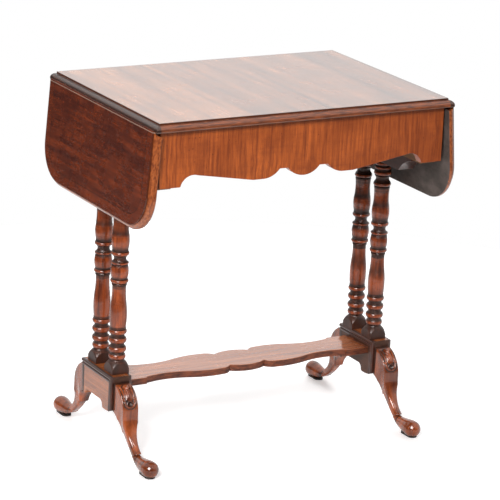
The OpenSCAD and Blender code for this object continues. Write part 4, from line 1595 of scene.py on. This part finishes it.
@dataclass
class Screws(Assembly):
    """Slotted wood screws, set on their places by a node tree, each slot at its own angle.

    All sizes in millimetres.
    """

    node: str
    head_r: float = 2.9
    head_h: float = 1.5
    shank_r: float = 1.4
    length: float = 12.0
    slot: float = 0.7
    slot_share: float = 0.55
    rim: float = 0.1
    sides: int = 24
    seed: int = 7

    def places(self) -> tuple[np.ndarray, np.ndarray]:
        """The middle of each head's face and the way from it to the tip, in the mesh's order.

        Returns:
            The middles in metres, and the ways as vectors 1 long.
        """
        solid = bmesh.new()
        solid.from_mesh(frame["nodes"][self.node].data)
        bmesh.ops.remove_doubles(solid, verts=solid.verts, dist=WELD)
        left = dict.fromkeys(solid.verts)
        heads: list[np.ndarray] = []
        ways: list[np.ndarray] = []
        while left:
            first = next(iter(left))
            del left[first]
            grow, found = [first], []
            while grow:
                vert = grow.pop()
                found.append(vert.co[:])
                for other in (edge.other_vert(vert) for edge in vert.link_edges):
                    if other in left:
                        del left[other]
                        grow.append(other)
            head, way = self.head_of(np.array(found))
            heads.append(head)
            ways.append(way)
        solid.free()
        return np.array(heads), np.array(ways)

    @staticmethod
    def head_of(points: np.ndarray) -> tuple[np.ndarray, np.ndarray]:
        """The middle of the wider end of one screw's points, and the way to its other end.

        Args:
            points: The points of one screw, in metres.

        Returns:
            The middle, and the way as a vector 1 long.
        """
        middle = points.mean(axis=0)
        axis = np.linalg.svd(points - middle)[2][0]
        along = (points - middle) @ axis
        ends = []
        for place in (along.min(), along.max()):
            ring = points[np.abs(along - place) < 0.1 * MM]
            hub = ring.mean(axis=0)
            ends.append((np.linalg.norm(ring - hub, axis=1).max(), hub))
        wide, thin = sorted(ends, key=lambda end: -end[0])
        way = thin[1] - wide[1]
        return wide[1], way / np.linalg.norm(way)

    def pattern(self) -> bpy.types.Object:
        """One screw, head down at the origin, with its slot cut.

        Returns:
            The screw, which is only a model for the others.
        """
        angle = np.arange(self.sides) * 2 * math.pi / self.sides
        circle = np.column_stack([np.cos(angle), np.sin(angle), np.zeros(self.sides)])
        rows = [(0.0, self.head_r - self.rim), (self.rim, self.head_r),
                (self.head_h, self.shank_r), (self.length, self.shank_r)]
        screw = rings_mesh("screw", np.array([circle * r + (0, 0, z) for z, r in rows]) * MM)
        screw.data.shade_flat()
        x, y, z = self.head_r + 1, self.slot / 2, self.head_h * self.slot_share
        outline = [(-x, -y), (x, -y), (x, y), (-x, y)]
        rings = np.array([[(a, b, h) for a, b in outline] for h in (-1.0, z)])
        cutter = rings_mesh("slot", rings * MM)
        cut = screw.modifiers.new("slot", "BOOLEAN")
        cut.operation = "DIFFERENCE"
        cut.solver = "EXACT"
        cut.object = cutter
        settle(screw)
        bpy.data.objects.remove(cutter)
        return screw

    def build(self) -> None:
        """Places and dresses the screws."""
        heads, ways = self.places()
        piece = mesh_object(self.node + "_piece", heads, [])
        paint(piece, "way", ways)
        pattern = self.pattern()
        tree, names = points_tree()
        setter = piece.modifiers.new("screws", "NODES")
        setter.node_group = tree
        setter[names["Piece"]] = pattern
        setter[names["Finish"]] = material_of(STEEL)
        setter[names["Seed"]] = self.seed
        settle(piece)
        bpy.data.objects.remove(pattern)
        LOG.info("%s: %d screws", self.node, len(heads))
        self.dress(piece, STEEL, self.node)


@dataclass(frozen=True)
class Lamp:
    """A square soft light that looks at the table: its place and side in metres, and its watts."""

    name: str
    place: tuple[float, float, float]
    size: float
    power: float


@dataclass
class Studio:
    """Camera, floor and light. The camera's place was worked out from the photograph."""

    target: tuple[float, float, float] = (0.03770, 0.04048, 0.36)
    distance: float = 5.593056
    yaw: float = 29.71
    pitch: float = 16.63
    roll: float = 2.67
    focal_share: float = 2728.114 / 500
    sensor: float = 36.0
    paper_r: float = 1.5
    paper_sides: int = 96
    aim: tuple[float, float, float] = (0.0, 0.0, 0.4)
    soft_lamp: float = 26.0
    room: float = 0.50
    lamps: tuple[Lamp, ...] = (
        Lamp("key", (-2.4, -2.4, 2.4), 0.9, 108.0),
        Lamp("fill", (2.6, -1.6, 1.5), 0.8, 5.0),
        Lamp("back", (1.4, 3.2, 1.9), 2.4, 122.0),
    )

    def camera(self) -> None:
        """Sets the camera."""
        yaw, pitch, roll = (math.radians(a) for a in (self.yaw, self.pitch, self.roll))
        flat = math.cos(pitch)
        ahead = Vector((math.sin(yaw) * flat, math.cos(yaw) * flat, -math.sin(pitch)))
        right = Vector((math.cos(yaw), -math.sin(yaw), 0))
        up = right.cross(ahead)
        tilted = right * math.cos(roll) + up * math.sin(roll)
        upright = up * math.cos(roll) - right * math.sin(roll)
        data = bpy.data.cameras.new("camera")
        data.sensor_width = self.sensor
        data.lens = self.focal_share * self.sensor
        data.clip_end = 100
        camera = bpy.data.objects.new("camera", data)
        axes = Matrix((tilted, upright, -ahead)).transposed().to_4x4()
        stand = Vector(self.target) - ahead * self.distance
        camera.matrix_world = Matrix.Translation(stand) @ axes
        bpy.context.scene.collection.objects.link(camera)
        bpy.context.scene.camera = camera

    def world(self) -> None:
        """White to the camera, a pale back and a soft lamp to the polish, dimmer as a light."""
        world = bpy.data.worlds.new("studio")
        world.use_nodes = True
        bpy.context.scene.world = world
        tree = Tree(world.node_tree)
        x, y, z = tree.parts(tree.node("ShaderNodeTexCoord").outputs["Generated"])
        path = tree.node("ShaderNodeLightPath").outputs
        seen, glossy, through = (
            Value(tree, path[f"Is {kind} Ray"]) for kind in ("Camera", "Glossy", "Transmission"))
        back = (z + y * 0.4 + x * 0.6).step(0.05, 0.55) * 0.94 + 0.06
        lamp = (z * 0.577 - x * 0.577 - y * 0.577).step(0.94, 0.995) * self.soft_lamp
        lit = (glossy + through).at_most(1.0)
        strength = seen + (1.0 - seen) * (lit * (back + lamp) + (1.0 - lit) * self.room)
        shader = tree.node(
            "ShaderNodeBackground", inputs={"Color": (1, 1, 1, 1), "Strength": strength})
        tree.node("ShaderNodeOutputWorld", inputs={"Surface": shader.outputs[0]})

    def floor(self) -> None:
        """A round sheet of paper."""
        sides = self.paper_sides
        turns = [2 * math.pi * i / sides for i in range(sides)]
        rim = [(self.paper_r * math.cos(a), self.paper_r * math.sin(a), 0) for a in turns]
        faces = [(0, 1 + i, 1 + (i + 1) % sides) for i in range(sides)]
        paper = mesh_object("floor", [(0, 0, 0), *rim], faces)
        paper.data.materials.append(material_of(Paper("paper")))

    def light(self, lamp: Lamp) -> None:
        """Adds a lamp, which neither the camera nor the polish sees.

        Args:
            lamp: The lamp.
        """
        data = bpy.data.lights.new(lamp.name, "AREA")
        data.shape = "SQUARE"
        data.size = lamp.size
        data.energy = lamp.power
        made = bpy.data.objects.new(lamp.name, data)
        made.location = lamp.place
        way = Vector(self.aim) - Vector(lamp.place)
        made.rotation_euler = way.to_track_quat("-Z", "Y").to_euler()
        made.visible_camera = False
        made.visible_glossy = False
        bpy.context.scene.collection.objects.link(made)

    def build(self) -> None:
        """Sets the whole stage."""
        self.camera()
        self.world()
        self.floor()
        for lamp in self.lamps:
            self.light(lamp)
        bpy.context.scene.view_settings.view_transform = "Standard"


def main() -> None:
    """Builds the stage and the table."""
    logging.basicConfig(level=logging.INFO, format="%(name)s: %(message)s")
    Studio().build()
    table: list[Assembly] = [
        Tabletop(),
        Leaf("left_leaf", -1, 4.0),
        Leaf("right_leaf", 1, 5.0),
        Carcase(),
        Pedestal(-1),
        Pedestal(1),
        Undershelf(),
        Hardware(),
        Screws("hinge_screws"),
        Screws("left_leaf_screws"),
        Screws("right_leaf_screws"),
        Screws("top_screws", head_r=4.0, head_h=3.0, shank_r=2.0, length=69.0, slot=1.0),
    ]
    for part in table:
        part.build()


if __name__ == "__main__":
    main()
